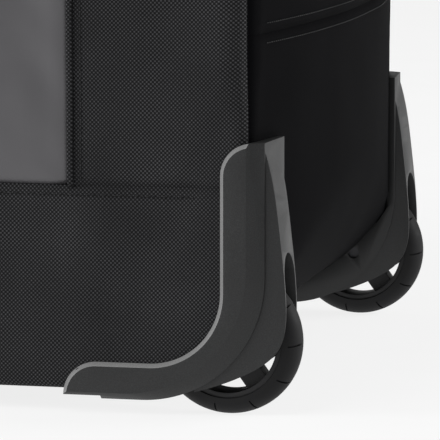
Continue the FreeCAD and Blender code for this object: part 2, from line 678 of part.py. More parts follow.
strap_skin = bag_form(size.webbing, size.webbing).cut(outer_form)
straps = [strap_skin.common(region(x - size.webbing_width / 2, x + size.webbing_width / 2, -EDGE, EDGE,
                                   0, size.strap_top))
          for x in (-size.strap_spacing / 2, size.strap_spacing / 2)]
feature("load_straps", Part.makeCompound(straps))

# ---------------------------------------------------------------- feet and rivets
foot_x = "(foot_setback - " + CORNER_X + ")"
screw_places = (("near", "foot_length / 4"), ("far", "3 * foot_length / 4"))
foot_screws = []
for name, side in SIDES.items():
    blank = block(f"foot_blank_{name}", "foot_length", "foot_width", "ground_gap",
                  foot_x, f"{side} * foot_spread / 2 - foot_width / 2", "0")
    doc.recompute()
    rounded = doc.addObject("Part::Fillet", f"foot_round_{name}")
    rounded.Base = blank
    rounded.Edges = [(number + 1, size.foot_round, size.foot_round)
                     for number, edge in enumerate(blank.Shape.Edges)
                     if edge.BoundBox.ZLength > size.ground_gap / 2]
    holes = []
    for end, offset in screw_places:
        place = (f"{foot_x} + {offset}", f"{side} * foot_spread / 2")
        sink = cylinder(f"foot_sink_{name}_{end}", "screw_head / 2", "ground_gap / 2", *place, "0")
        shank = cylinder(f"foot_hole_{name}_{end}", "screw_diameter / 2", "ground_gap", *place, "0")
        holes += [sink, shank]
        head = cylinder(f"screw_head_{name}_{end}", "screw_head / 2", "screw_diameter / 2", *place,
                        "ground_gap / 2 - screw_diameter / 2")
        rod = cylinder(f"screw_rod_{name}_{end}", "screw_diameter / 2",
                       "ground_gap / 2 + fabric + board_thickness", *place, "ground_gap / 2")
        screw = doc.addObject("Part::Fuse", f"foot_screw_{name}_{end}")
        screw.Base, screw.Tool = head, rod
        foot_screws.append(screw)
    holes = group(f"foot_holes_{name}", holes)
    keep(cut(f"foot_cut_{name}", rounded, holes), f"foot_{name}")
keep(group("foot_screw_group", foot_screws), "foot_screws")

# Rivets through the guard's lip, measured from the lip's inner edge and the wheel's axis.
RIVET_PLACES = [("top", "lip_width / 2", "guard_top - lip_width"),
                ("middle", "lip_width / 2", "guard_top - 2 * lip_width"),
                ("bend", "-guard_reach / 2 - lip_width / 2", "fabric - leg_depth"),
                ("tip", "-guard_reach + leg_depth / 2", "fabric - leg_depth")]
for name, side in SIDES.items():
    rivets = []
    head_back = " - fabric / 4" if side > 0 else ""
    rod_back = "" if side > 0 else " - fabric - guard_wall / 2"
    wall = f"{side} * (body_width / 2 - fabric)"
    for place, x, z in RIVET_PLACES:
        at = (WHEEL_X + " + corner_back - lip_width + " + x, "wheel_diameter / 2 + " + z)
        head = cylinder(f"rivet_head_{name}_{place}", "screw_head / 2", "fabric / 4",
                        at[0], wall + head_back, at[1], "Y")
        rod = cylinder(f"rivet_rod_{name}_{place}", "screw_diameter / 2", "fabric + guard_wall / 2",
                       at[0], wall + rod_back, at[1], "Y")
        rivet = doc.addObject("Part::Fuse", f"rivet_{name}_{place}")
        rivet.Base, rivet.Tool = head, rod
        rivets.append(rivet)
    keep(group(f"rivet_group_{name}", rivets), f"guard_rivets_{name}")

# ---------------------------------------------------------------- write
doc.recompute()
for thing in doc.Objects:
    if {"Invalid", "Error"} & set(thing.State):
        raise RuntimeError(f"{thing.Label} did not build: {thing.State}")
os.makedirs("parts", exist_ok=True)
for piece in pieces:
    shape = piece.Shape
    if shape.isNull() or not shape.isValid() or not shape.Solids:
        raise RuntimeError(f"{piece.Label} has no sound shape")
    shape.exportStep(f"parts/{piece.Label}.step")
print(len(pieces), "pieces written")
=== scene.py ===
import math

import bmesh
import bpy
from bpy.props import FloatProperty, FloatVectorProperty, IntProperty, PointerProperty
from mathutils import Matrix, Vector, noise


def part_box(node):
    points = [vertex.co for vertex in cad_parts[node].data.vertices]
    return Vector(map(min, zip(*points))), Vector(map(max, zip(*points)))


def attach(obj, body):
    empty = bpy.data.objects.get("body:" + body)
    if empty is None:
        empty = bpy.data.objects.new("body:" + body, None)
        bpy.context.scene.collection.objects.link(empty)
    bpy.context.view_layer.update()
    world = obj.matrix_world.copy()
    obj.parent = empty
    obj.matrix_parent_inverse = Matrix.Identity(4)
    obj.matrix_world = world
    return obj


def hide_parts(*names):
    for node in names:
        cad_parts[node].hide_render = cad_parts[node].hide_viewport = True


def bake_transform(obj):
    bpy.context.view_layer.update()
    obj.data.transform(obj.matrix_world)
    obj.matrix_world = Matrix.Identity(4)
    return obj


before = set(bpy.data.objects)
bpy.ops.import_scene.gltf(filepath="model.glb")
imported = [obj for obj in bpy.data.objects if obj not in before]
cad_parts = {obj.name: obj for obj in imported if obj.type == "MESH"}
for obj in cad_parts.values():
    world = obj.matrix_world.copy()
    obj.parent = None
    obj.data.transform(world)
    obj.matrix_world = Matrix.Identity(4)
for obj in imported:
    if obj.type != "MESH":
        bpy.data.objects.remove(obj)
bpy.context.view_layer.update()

bl_info = {
    "name": "Hockey equipment bag",
    "version": (1, 0, 0),
    "blender": (4, 5, 0),
    "location": "View3D > Sidebar > Hockey bag",
    "description": "Builds a wheeled hockey equipment bag round its packed frame",
    "category": "Object",
}

SIDES = {"right": -1, "left": 1}

# ---------------------------------------------------------------- places, all from the frame
side_low, side_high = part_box("lower_side_right")
HALF_WIDTH = -side_low.y
FLOOR_GAP = side_low.z
SIDE_SEAM = side_high.z
CORNER_X = side_high.x
END_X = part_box("wheel_end_lower")[1].x
END_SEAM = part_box("wheel_end_lower")[1].z
WALL_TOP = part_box("top_border")[0].z
LID_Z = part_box("lid")[1].z
LID_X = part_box("lid")[1].x
LID_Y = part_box("lid")[1].y
TARP_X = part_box("tarpaulin_right")[1].x
FLAT_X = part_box("bottom_panel")[1].x
WELL_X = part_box("wheel_well_right")[0].x
WELL_Y = -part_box("wheel_well_right")[1].y
WELL_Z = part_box("wheel_well_right")[1].z
WHEEL = (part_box("tyre_right")[0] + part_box("tyre_right")[1]) / 2
WHEEL_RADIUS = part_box("tyre_right")[1].z / 2
GUARD_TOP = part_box("wheel_guard_right")[1].z
STRAP_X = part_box("load_straps")[1].x
STRAP_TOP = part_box("load_straps")[1].z

END_ROUND = END_X + 0.0005 - FLAT_X
FULL_SWELL = END_X - 0.0005 - CORNER_X
TOP_ROUND = 0.034
SOLE_ROUND = 0.008
LID_ROUND = 0.06
WALL = 0.0036
SEED = 7
WEBBING_WIDTH = 0.038
STITCH_INSET = 0.0155  # from the middle of a webbing to its stitches
STITCH_SHARE = 0.72  # thread that shows of each stitch
GUARD_SEAM_END = 0.405  # the side seam runs under the guard from here
STRAP_BOX = (0.130, 0.158)  # heights of the stitched box on a load strap
STRAP_SEAM_TOP = 0.350  # below the fold of the carry handles
TAPE_SECTION = ((0.0, 0.0), (0.0, 0.0009), (0.12, 0.0011), (0.5, 0.0009), (0.9, 0.0009), (1.0, 0.0))
CAMERA_LENS = 358.9
CAMERA_OFFSET = 0.5731  # along the bag, from the wheels
CAMERA_PLACE = (-2.7621, 0.4647)
CAMERA_FORWARD = (-0.2191, 0.9668, -0.1312)


class BagSizes(bpy.types.PropertyGroup):
    wall_wave: FloatProperty(name="Wall wave", description="How far the fabric walls wander in and out",
                             default=0.0016, unit="LENGTH")
    tarp_fold: FloatProperty(name="Tarpaulin folds", description="Depth of the soft folds in the tarpaulin",
                             default=0.0042, unit="LENGTH")
    stitch: FloatProperty(name="Stitch length", description="One stitch of the seams", default=0.0034,
                          unit="LENGTH")
    tooth_pitch: FloatProperty(name="Tooth pitch", description="From one zip tooth to the next",
                               default=0.0030, unit="LENGTH")
    sipes: IntProperty(name="Sipes", description="Short cuts round each tyre", default=22)
    weave: FloatProperty(name="Weave", description="Repeat of the ballistic weave", default=0.0025,
                         unit="LENGTH")


class BagColours(bpy.types.PropertyGroup):
    ballistic: FloatVectorProperty(name="Ballistic nylon", description="Raised yarns of the side fabric",
                                   default=(0.078, 0.078, 0.082), subtype="COLOR")
    end_cloth: FloatVectorProperty(name="End fabric", description="Fine fabric of the ends and top",
                                   default=(0.0048, 0.0048, 0.0056), subtype="COLOR")
    tarpaulin: FloatVectorProperty(name="Tarpaulin", description="Coated fabric of the long sides",
                                   default=(0.086, 0.0835, 0.089), subtype="COLOR")
    guard: FloatVectorProperty(name="Guard plastic", description="Moulded wheel guards",
                               default=(0.0275, 0.0280, 0.0285), subtype="COLOR")
    tyre: FloatVectorProperty(name="Tyre", description="Moulded tread", default=(0.0085, 0.0085, 0.009),
                              subtype="COLOR")


# ---------------------------------------------------------------- materials


class Finish:
    """A node material in the making: few words for the nodes that the finishes share."""

    def __init__(self, name):
        self.material = bpy.data.materials.new(name)
        self.material.use_nodes = True
        self.tree = self.material.node_tree
        self.shader = self.tree.nodes["Principled BSDF"]
        self.height = None

    def node(self, kind, **settings):
        node = self.tree.nodes.new(kind)
        for key, value in settings.items():
            setattr(node, key, value)
        return node

    def link(self, source, target):
        self.tree.links.new(source, target)

    def feed(self, socket, value):
        if isinstance(value, (int, float)):
            socket.default_value = value
        else:
            self.link(value, socket)

    def coordinates(self, kind="Object"):
        return self.node("ShaderNodeTexCoord").outputs[kind]

    def math(self, operation, *values, clamp=False):
        node = self.node("ShaderNodeMath", operation=operation, use_clamp=clamp)
        for socket, value in zip(node.inputs, values):
            self.feed(socket, value)
        return node.outputs[0]

    def noise(self, where, scale, detail=3.0, roughness=0.55):
        node = self.node("ShaderNodeTexNoise")
        self.link(where, node.inputs["Vector"])
        node.inputs["Scale"].default_value = scale
        node.inputs["Detail"].default_value = detail
        node.inputs["Roughness"].default_value = roughness
        return node.outputs["Fac"]

    def spread(self, value, low, high, start, end):
        """Map a value from one span to another, held at its ends."""
        node = self.node("ShaderNodeMapRange")
        self.link(value, node.inputs["Value"])
        for name, number in (("From Min", low), ("From Max", high), ("To Min", start), ("To Max", end)):
            node.inputs[name].default_value = number
        return node.outputs["Result"]

    def mix(self, amount, dark, light):
        node = self.node("ShaderNodeMix", data_type="RGBA")
        self.feed(node.inputs[0], amount)
        for socket, colour in ((node.inputs[6], dark), (node.inputs[7], light)):
            if isinstance(colour, bpy.types.NodeSocket):
                self.link(colour, socket)
            else:
                socket.default_value = (*colour, 1)
        return node.outputs[2]

    def colour(self, socket):
        self.link(socket, self.shader.inputs["Base Color"])

    def set(self, **values):
        for name, value in values.items():
            socket = self.shader.inputs[name.replace("_", " ")]
            if isinstance(value, bpy.types.NodeSocket):
                self.link(value, socket)
            else:
                socket.default_value = value

    def bump(self, height, distance, strength=1.0):
        """Add a relief; a second one lies on the first."""
        node = self.node("ShaderNodeBump")
        node.inputs["Strength"].default_value = strength
        node.inputs["Distance"].default_value = distance
        self.link(height, node.inputs["Height"])
        if self.height:
            self.link(self.height, node.inputs["Normal"])
        self.height = node.outputs["Normal"]
        self.link(self.height, self.shader.inputs["Normal"])


def scaled(colour, factor):
    return tuple(channel * factor for channel in colour)


def woven(name, colour, repeat, gloss, gap_shade=0.05, relief=0.0002, shine=0.12, drape=0.0):
    """Plain weave on the piece's own UV map in metres: a staggered lattice of raised yarns, with painted shade in
    the gaps between them.
    """
    finish = Finish(name)
    uv = finish.coordinates("UV")
    axes = finish.node("ShaderNodeSeparateXYZ")
    finish.link(uv, axes.inputs[0])
    wander = finish.spread(finish.noise(uv, 60.0), 0.3, 0.7, -0.35, 0.35)
    waves = []
    for axis in (0, 1):
        turned = finish.math("MULTIPLY", axes.outputs[axis], 2 * math.pi / repeat)
        waves.append(finish.math("COSINE", finish.math("ADD", turned, wander)))
    lattice = finish.math("MULTIPLY", waves[0], waves[1])
    lit_yarn_shaded_gap = finish.spread(lattice, -0.15, 0.95, 0.0, 1.0)
    patches = finish.spread(finish.noise(uv, 22.0, 4.0), 0.3, 0.75, 0.72, 1.12)
    fibre = finish.spread(finish.noise(uv, 1500.0, 2.0), 0.25, 0.75, 0.65, 1.2)
    amount = finish.math("MULTIPLY", finish.math("MULTIPLY", lit_yarn_shaded_gap, patches), fibre, clamp=True)
    # painted shade: the colour darkens in the gaps between the raised yarns
    finish.colour(finish.mix(amount, scaled(colour, gap_shade), colour))
    finish.set(Roughness=finish.spread(amount, 0, 1, 0.95, gloss), Specular_IOR_Level=shine)
    finish.bump(lattice, relief, 0.8)
    if drape:
        finish.bump(finish.noise(finish.coordinates(), 11.0, 1.0), drape, 1.0)
    return finish.material


def coated(name, colour):
    """Coated tarpaulin: satin skin over a scrim that just shows through."""
    finish = Finish(name)
    uv, place = finish.coordinates("UV"), finish.coordinates()
    clouds = finish.noise(place, 9.0, 4.0)
    fine = finish.noise(place, 900.0, 2.0)
    colour_low = scaled(colour, 0.86)
    finish.colour(finish.mix(finish.spread(clouds, 0.3, 0.7, 0, 1), colour_low, colour))
    finish.set(Roughness=finish.spread(finish.noise(place, 40.0), 0.3, 0.7, 0.40, 0.52), Specular_IOR_Level=0.5,
               Coat_Weight=0.08, Coat_Roughness=0.35)
    axes = finish.node("ShaderNodeSeparateXYZ")
    finish.link(uv, axes.inputs[0])
    threads = [finish.math("COSINE", finish.math("MULTIPLY", axes.outputs[axis], 2 * math.pi / 0.0011))
               for axis in (0, 1)]
    finish.bump(finish.math("MAXIMUM", *threads), 0.00002, 0.35)
    finish.bump(fine, 0.00004, 0.3)
    return finish.material


def webbing_finish(name, colour):
    """Webbing: ribs along its length and a chevron of yarns across, on its UV map in metres, with painted shade in
    the grooves.
    """
    finish = Finish(name)
    uv = finish.coordinates("UV")
    axes = finish.node("ShaderNodeSeparateXYZ")
    finish.link(uv, axes.inputs[0])
    along = finish.math("MULTIPLY", axes.outputs[0], 2 * math.pi / 0.0024)
    zigzag = finish.math("MULTIPLY", finish.math("PINGPONG", axes.outputs[1], 0.0032), 2 * math.pi / 0.0022)
    ribs = finish.math("COSINE", finish.math("ADD", along, zigzag))
    edge = finish.math("COSINE", finish.math("MULTIPLY", axes.outputs[1], 2 * math.pi / 0.0032))
    height = finish.math("ADD", finish.math("MULTIPLY", ribs, 0.6), finish.math("MULTIPLY", edge, 0.4))
    fibre = finish.spread(finish.noise(uv, 1300.0, 2.0), 0.25, 0.75, 0.7, 1.15)
    amount = finish.math("MULTIPLY", finish.spread(height, -0.8, 0.9, 0.1, 1), fibre, clamp=True)
    # painted shade: the colour darkens in the grooves between the ribs
    finish.colour(finish.mix(amount, scaled(colour, 0.25), colour))
    finish.set(Roughness=0.72, Specular_IOR_Level=0.35, Sheen_Weight=0.08, Sheen_Roughness=0.4)
    finish.bump(height, 0.00025, 0.8)
    return finish.material


def moulded(name, colour, rough=0.5, grain=0.00005, speckle=0.35):
    """Spark-eroded moulding: fine grain with lighter specks."""
    finish = Finish(name)
    place = finish.coordinates()
    specks = finish.noise(place, 1700.0, 2.0, 0.7)
    clouds = finish.noise(place, 30.0, 3.0)
    amount = finish.math("MULTIPLY", finish.spread(specks, 0.38, 0.72, 0, 1),
                         finish.spread(clouds, 0.3, 0.7, 0.7, 1))
    finish.colour(finish.mix(amount, scaled(colour, 1 - speckle), scaled(colour, 1 + speckle)))
    finish.set(Roughness=finish.spread(clouds, 0.3, 0.7, rough - 0.05, rough + 0.06), Specular_IOR_Level=0.3)
    finish.bump(specks, grain, 0.7)
    return finish.material


def rubber(name, colour, rough=0.62):
    finish = Finish(name)
    place = finish.coordinates()
    scuffs = finish.noise(place, 160.0, 5.0, 0.65)
    dust = finish.noise(place, 26.0, 4.0)
    amount = finish.math("MULTIPLY", finish.spread(scuffs, 0.35, 0.75, 0, 1), finish.spread(dust, 0.3, 0.7, 0.4, 1))
    finish.colour(finish.mix(amount, scaled(colour, 0.75), scaled(colour, 1.5)))
    finish.set(Roughness=finish.spread(scuffs, 0.3, 0.7, rough - 0.06, rough + 0.08), Specular_IOR_Level=0.2)
    finish.bump(finish.noise(place, 1100.0, 2.0), 0.00003, 0.5)
    return finish.material


def plated(name, colour, rough, metallic=1.0):
    finish = Finish(name)
    place = finish.coordinates()
    turned = finish.noise(place, 500.0, 2.0)
    stain = finish.noise(place, 60.0, 3.0)
    finish.colour(finish.mix(finish.spread(stain, 0.3, 0.7, 0, 1), scaled(colour, 0.8), colour))
    finish.set(Metallic=metallic, Roughness=finish.spread(turned, 0.3, 0.7, rough - 0.06, rough + 0.08))
    finish.bump(turned, 0.00002, 0.4)
    return finish.material


def thread_finish(name, colour):
    finish = Finish(name)
    place = finish.coordinates()
    twist = finish.noise(place, 1800.0, 1.0)
    finish.colour(finish.mix(finish.spread(twist, 0.3, 0.7, 0, 1), scaled(colour, 0.5), colour))
    finish.set(Roughness=0.6, Specular_IOR_Level=0.35)
    finish.bump(twist, 0.00005, 0.5)
    return finish.material


FINISH = {}


def make_finishes(colours, sizes):
    FINISH.update(
        ballistic=woven("ballistic_weave", colours.ballistic, sizes.weave, 0.62, 0.12, drape=0.012),
        end=woven("fine_end_cloth", colours.end_cloth, 0.0012, 0.7, 0.5, 0.00006, 0.03),
        lining=woven("lining_cloth", (0.05, 0.05, 0.052), 0.0011, 0.7, 0.5, 0.00006),
        tarp=coated("coated_tarpaulin", colours.tarpaulin),
        webbing=webbing_finish("black_webbing", (0.030, 0.030, 0.032)),
        patch=woven("patch_cloth", (0.034, 0.034, 0.036), 0.0016, 0.65, 0.3, 0.0001),
        guard=moulded("guard_moulding", colours.guard, 0.47),
        # bevel faces: slightly smoother plastic, and a much lighter colour that is a painted highlight
        bevel=moulded("guard_bevel", (0.22, 0.22, 0.22), 0.36, 0.00002, 0.15),
        liner=moulded("liner_moulding", (0.012, 0.012, 0.012), 0.6),
        board=moulded("board_sheet", (0.028, 0.028, 0.029), 0.55),
        tyre=rubber("tyre_tread", colours.tyre),
        rim=moulded("rim_moulding", (0.016, 0.016, 0.017), 0.45),
        grip=rubber("grip_wrap", (0.022, 0.022, 0.023), 0.68),
        steel=plated("zinc_plate", (0.55, 0.55, 0.56), 0.32),
        zip_metal=plated("painted_zip_metal", (0.045, 0.045, 0.05), 0.38, 0.4),
        zip_tape=webbing_finish("zip_tape_weave", (0.028, 0.028, 0.029)),
        tooth=moulded("zip_tooth_nylon", (0.03, 0.03, 0.031), 0.35),
        thread=thread_finish("seam_thread", (0.007, 0.007, 0.0078)),
    )


# ---------------------------------------------------------------- shaping helpers


def object_of(name, vertices, faces, uvs=None, smooth=True):
    """A mesh object at the origin; uvs holds one pair for each corner of each face."""
    mesh = bpy.data.meshes.new(name)
    mesh.from_pydata([tuple(v) for v in vertices], [], faces)
    if uvs:
        layer = mesh.uv_layers.new(name="cloth")
        for loop, uv in zip(layer.data, uvs):
            loop.uv = uv
    mesh.polygons.foreach_set("use_smooth", [smooth] * len(mesh.polygons))
    piece = bpy.data.objects.new(name, mesh)
    bpy.context.scene.collection.objects.link(piece)
    return piece


def grid_object(name, rows, uv_rows, closed=False, keep=lambda middle: True):
    """A sheet through rows of points that all have the same count."""
    count = len(rows[0])
    vertices = [point for row in rows for point in row]
    faces, uvs = [], []
    for j in range(len(rows) - 1):
        for i in range(count if closed else count - 1):
            i2 = (i + 1) % count
            face = (j * count + i, j * count + i2, (j + 1) * count + i2, (j + 1) * count + i)
            middle = sum((vertices[k] for k in face), Vector()) / 4
            if not keep(middle):
                continue
            faces.append(face)
            u2 = i + 1 if closed else i2
            uvs += [uv_rows[j][i], uv_rows[j][u2], uv_rows[j + 1][u2], uv_rows[j + 1][i]]
    piece = object_of(name, vertices, faces, uvs)
    drop_loose(piece)
    return piece


def drop_loose(piece):
    shape = bmesh.new()
    shape.from_mesh(piece.data)
    bmesh.ops.delete(shape, geom=[v for v in shape.verts if not v.link_faces], context="VERTS")
    shape.to_mesh(piece.data)
    shape.free()


def bake(piece):
    """Replace a piece's modifiers by their result."""
    graph = bpy.context.evaluated_depsgraph_get()
    mesh = bpy.data.meshes.new_from_object(piece.evaluated_get(graph))
    piece.modifiers.clear()
    old = piece.data
    piece.data = mesh
    bpy.data.meshes.remove(old)
    mesh.name = piece.name
    return piece


def thicken(piece, thickness, offset=-1.0):
    solid = piece.modifiers.new("wall", "SOLIDIFY")
    solid.thickness = thickness
    solid.offset = offset
    solid.use_even_offset = True
    if len(piece.data.materials) > 1:
        solid.material_offset = 1
    return bake(piece)


def dress(piece, *finishes):
    piece.data.materials.clear()
    for finish in finishes:
        piece.data.materials.append(FINISH[finish])
    return piece


def settle(piece, body, slot, *nodes):
    """Hand a finished piece to the frame."""
    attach(piece, body)
    if nodes:
        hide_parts(*nodes)
    return piece


def merged_copy(node, name):
    """A copy of a frame node's mesh, merged and with its flat faces joined, ready for bevels."""
    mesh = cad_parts[node].data.copy()
    piece = bpy.data.objects.new(name, mesh)
    bpy.context.scene.collection.objects.link(piece)
    shape = bmesh.new()
    shape.from_mesh(mesh)
    bmesh.ops.remove_doubles(shape, verts=shape.verts, dist=2e-5)
    bmesh.ops.dissolve_limit(shape, angle_limit=math.radians(0.4), verts=shape.verts, edges=shape.edges)
    shape.to_mesh(mesh)
    shape.free()
    for layer in list(mesh.uv_layers):
        mesh.uv_layers.remove(layer)
    return piece


def soften(piece, width, segments=2, angle=28):
    """Round every sharp edge a little."""
    bevel = piece.modifiers.new("edges", "BEVEL")
    bevel.width = width
    bevel.segments = segments
    bevel.limit_method = "ANGLE"
    bevel.angle_limit = math.radians(angle)
    bevel.use_clamp_overlap = True
    bevel.harden_normals = False
    bake(piece)
    return smooth_by_angle(piece, 35)


def smooth_by_angle(piece, degrees):
    mesh = piece.data
    mesh.polygons.foreach_set("use_smooth", [True] * len(mesh.polygons))
    shape = bmesh.new()
    shape.from_mesh(mesh)
    for edge in shape.edges:
        edge.smooth = len(edge.link_faces) == 2 and edge.calc_face_angle(0) < math.radians(degrees)
    shape.to_mesh(mesh)
    shape.free()
    return piece


def grid_closed(name, rows):
    """A torus-like skin: rows close on each other, and so does each row."""
    count, total = len(rows[0]), len(rows)
    vertices = [point for row in rows for point in row]
    faces = [(j * count + i, ((j + 1) % total) * count + i, ((j + 1) % total) * count + (i + 1) % count,
              j * count + (i + 1) % count) for j in range(total) for i in range(count)]
    piece = object_of(name, vertices, faces)
    face_outwards(piece)
    return piece


def face_outwards(piece):
    shape = bmesh.new()
    shape.from_mesh(piece.data)
    bmesh.ops.recalc_face_normals(shape, faces=shape.faces)
    shape.to_mesh(piece.data)
    shape.free()
    return piece


# ---------------------------------------------------------------- the bag's skin


def smoothstep(low, high, value):
    t = min(1.0, max(0.0, (value - low) / (high - low)))
    return t * t * (3 - 2 * t)


class Ring:
    """One level course round the bag: rounded rectangle whose short sides swell."""

    def __init__(self, z, half_x, half_y, swell, corner):
        self.z, self.half_x, self.half_y, self.swell, self.corner = z, half_x, half_y, swell, corner

    def long_point(self, t, side):
        """Point on a long side; t past the straight part runs into the corner."""
        straight = self.half_x - self.corner
        extra = max(0.0, abs(t) - straight)
        angle = extra / self.corner
        reach = self.corner + self.bow(self.half_y - self.corner)
        x = math.copysign(min(abs(t), straight) + reach * math.sin(angle), t)
        y = self.half_y - self.corner + self.corner * math.cos(angle)
        return Vector((x, side * y, self.z))

    def bow(self, y):
        """How far the short side stands out: its arc, held back where the bag turns under."""
        arc = FULL_SWELL * max(0.0, 1 - (y / self.half_y) ** 2)
        blend = 0.003
        near = max(0.0, blend - abs(arc - self.swell)) / blend
        return max(0.0, min(arc, self.swell) - near * near * blend / 4)

    def short_point(self, t, end):
        straight = self.half_y - self.corner
        extra = max(0.0, abs(t) - straight)
        angle = extra / self.corner
        y = math.copysign(min(abs(t), straight) + self.corner * math.sin(angle), t)
        if extra:
            x = self.half_x - self.corner + (self.corner + self.bow(straight)) * math.cos(angle)
        else:
            x = self.half_x + self.bow(t)
        return Vector((end * x, y, self.z))


def wall_rings():
    """The courses from the bottom to the top of the walls, with the length up the end wall."""
    rings = []
    steps = 14
    for k in range(steps):
        angle = math.pi / 2 * k / steps
        z = FLOOR_GAP + END_ROUND * (1 - math.cos(angle))
        middle = FLAT_X + END_ROUND * math.sin(angle)
        rings.append((z, middle, END_ROUND * angle))
    start = FLOOR_GAP + END_ROUND
    for low, high, pitch in ((start, SIDE_SEAM, 0.006), (SIDE_SEAM, END_SEAM, 0.006),
                             (END_SEAM, WALL_TOP, 0.0064)):
        count = round((high - low) / pitch)
        rings += [(low + (high - low) * k / count, END_X, END_ROUND * math.pi / 2 + low - start
                   + (high - low) * k / count) for k in range(count)]
    rings.append((WALL_TOP, END_X, END_ROUND * math.pi / 2 + WALL_TOP - start))
    made = []
    for z, middle, climb in rings:
        half_x = min(CORNER_X, middle - 0.0005)
        drop = max(0.0, SOLE_ROUND - (z - FLOOR_GAP))
        half_y = HALF_WIDTH - (SOLE_ROUND - math.sqrt(max(0.0, SOLE_ROUND ** 2 - drop ** 2)))
        corner = 0.009 + 0.011 * smoothstep(GUARD_TOP, GUARD_TOP + 0.06, z)
        made.append((Ring(z, half_x, half_y, max(0.0, middle - half_x), corner), climb))
    return made


def spaced(low, high, pitch):
    count = max(1, round((high - low) / pitch))
    return [low + (high - low) * k / count for k in range(count + 1)]


def wave(x, y, z, scale, seed):
    return noise.noise(Vector((x * scale + seed, y * scale - seed, z * scale + 2 * seed)))


def near_guard(point):
    """0 where a wheel guard lies on the fabric, 1 well away from it."""
    if point.x < 0:
        return 1.0
    lip = smoothstep(0.0, 0.03, max(CORNER_X - 0.02 - point.x, point.z - GUARD_TOP))
    leg = smoothstep(0.0, 0.03, max(point.z - 0.034, 0.322 - point.x))
    return min(lip, leg)


CREASES = [  # soft dents in a long side: two ends (x, z), half width and depth
    ((0.432, 0.182), (0.398, 0.128), 0.0075, 0.0034),
    ((0.398, 0.128), (0.372, 0.096), 0.012, 0.0016),
    ((0.345, 0.126), (0.385, 0.108), 0.009, 0.0018),
    ((0.300, 0.128), (0.335, 0.090), 0.012, 0.0013),
    ((0.250, 0.120), (0.300, 0.060), 0.016, 0.0015),
    ((-0.320, 0.130), (-0.380, 0.060), 0.018, 0.0020),
    ((-0.420, 0.240), (-0.370, 0.170), 0.014, 0.0018),
    ((0.060, 0.130), (0.100, 0.070), 0.016, 0.0015),
    ((-0.100, 0.130), (-0.060, 0.060), 0.016, 0.0015),
]


def crease_depth(x, z):
    depth = 0.0
    for (x0, z0), (x1, z1), half, deep in CREASES:
        dx, dz = x1 - x0, z1 - z0
        t = min(1.0, max(0.0, ((x - x0) * dx + (z - z0) * dz) / (dx * dx + dz * dz)))
        away = math.hypot(x - x0 - t * dx, z - z0 - t * dz)
        depth += deep * math.exp(-(away / half) ** 2) * math.sin(math.pi * min(0.96, max(0.04, t))) ** 0.5
    return depth


def side_swell(x, z, side, sizes):
    """How far a long side stands out (+) or sinks (-) from its flat place."""
    hold = near_guard(Vector((x, 0, z)))
    edge = min(1.0, (z - FLOOR_GAP) / 0.05)
    swell = sizes.wall_wave * (wave(x, side, z, 7.0, SEED) + 0.6 * wave(x, side, z, 19.0, SEED + 3)) * hold * edge
    for seam, half, deep in ((SIDE_SEAM, 0.0028, 0.0013), (WALL_TOP, 0.003, 0.0012)):
        swell -= deep * math.exp(-((z - seam) / half) ** 2) * hold
    swell += 0.0016 * math.exp(-((z - SIDE_SEAM + 0.016) / 0.010) ** 2) * hold * (
        0.5 + wave(x, side, 0, 24.0, SEED + 9))
    swell -= crease_depth(x, z) * (1 if side < 0 else 0.8) * max(hold, 0.35 if z > 0.1 else 0)
    return swell


def end_swell(y, z, end, sizes):
    """The same for an end wall, kept flat beside the guards and fading towards the floor."""
    hold = 1.0
    if end > 0:
        hold = max(smoothstep(GUARD_TOP, GUARD_TOP + 0.03, z), 1 - smoothstep(0.150, 0.178, abs(y)))
    hold *= min(1.0, (z - FLOOR_GAP) / 0.05)
    swell = 0.8 * sizes.wall_wave * (wave(end, y, z, 6.0, SEED + 5) + 0.5 * wave(end, y, z, 17.0, SEED + 6))
    swell -= 0.0014 * math.exp(-((z - END_SEAM) / 0.003) ** 2)
    return swell * hold - 0.0006


def side_rows(side, low, high, columns, sizes):
    """Rows of points on a long side between two heights; columns are places along the bag."""
    rows, uvs = [], []
    for ring, climb in wall_rings():
        if ring.z < low - 1e-6 or ring.z > high + 1e-6:
            continue
        limit = ring.half_x - ring.corner + ring.corner * math.pi / 4
        row, uv = [], []
        for t in columns:
            at = t
            if abs(t) > TARP_X + 1e-6:
                span = CORNER_X - 0.004 - TARP_X
                at = math.copysign(TARP_X + (abs(t) - TARP_X) / span * (limit - TARP_X), t)
            point = ring.long_point(at, side)
            point.y += side * side_swell(point.x, point.z, side, sizes) * (1 - smoothstep(
                ring.half_x - ring.corner, limit, abs(at)))
            row.append(point)
            uv.append((at, ring.z))
        rows.append(row)
        uvs.append(uv)
    if side > 0:
        rows = [row[::-1] for row in rows]
        uvs = [uv[::-1] for uv in uvs]
    return rows, uvs


SIDE_COLUMNS = ([-x for x in reversed(spaced(TARP_X, CORNER_X - 0.004, 0.0052))][:-1]
                + spaced(-TARP_X, TARP_X, 0.0066) + spaced(TARP_X, CORNER_X - 0.004, 0.0052)[1:])


def end_rows(end, low, high, sizes):
    rows, uvs = [], []
    for ring, climb in wall_rings():
        if ring.z < low - 1e-6 or ring.z > high + 1e-6:
            continue
        limit = ring.half_y - ring.corner + ring.corner * math.pi / 4
        row, uv = [], []
        for t in spaced(-1, 1, 0.0262):
            point = ring.short_point(t * limit, end)
            point.x += end * end_swell(point.y, point.z, end, sizes) * (1 - smoothstep(0.9, 1.0, abs(t)))
            row.append(point)
            uv.append((t * limit, climb))
        if end < 0:
            row, uv = row[::-1], uv[::-1]
        rows.append(row)
        uvs.append(uv)
    return rows, uvs


def clear_of_wheels(middle):
    """False where the fabric is cut away for a wheel, its arch and its well."""
    if middle.x < WELL_X:
        return True
    if abs(middle.y) > WELL_Y + 0.004 and middle.z < WELL_Z - 0.002 and abs(middle.y) < HALF_WIDTH - 0.0045:
        return False
    return not (0.188 < abs(middle.y) < 0.2205 and middle.z < 0.152)


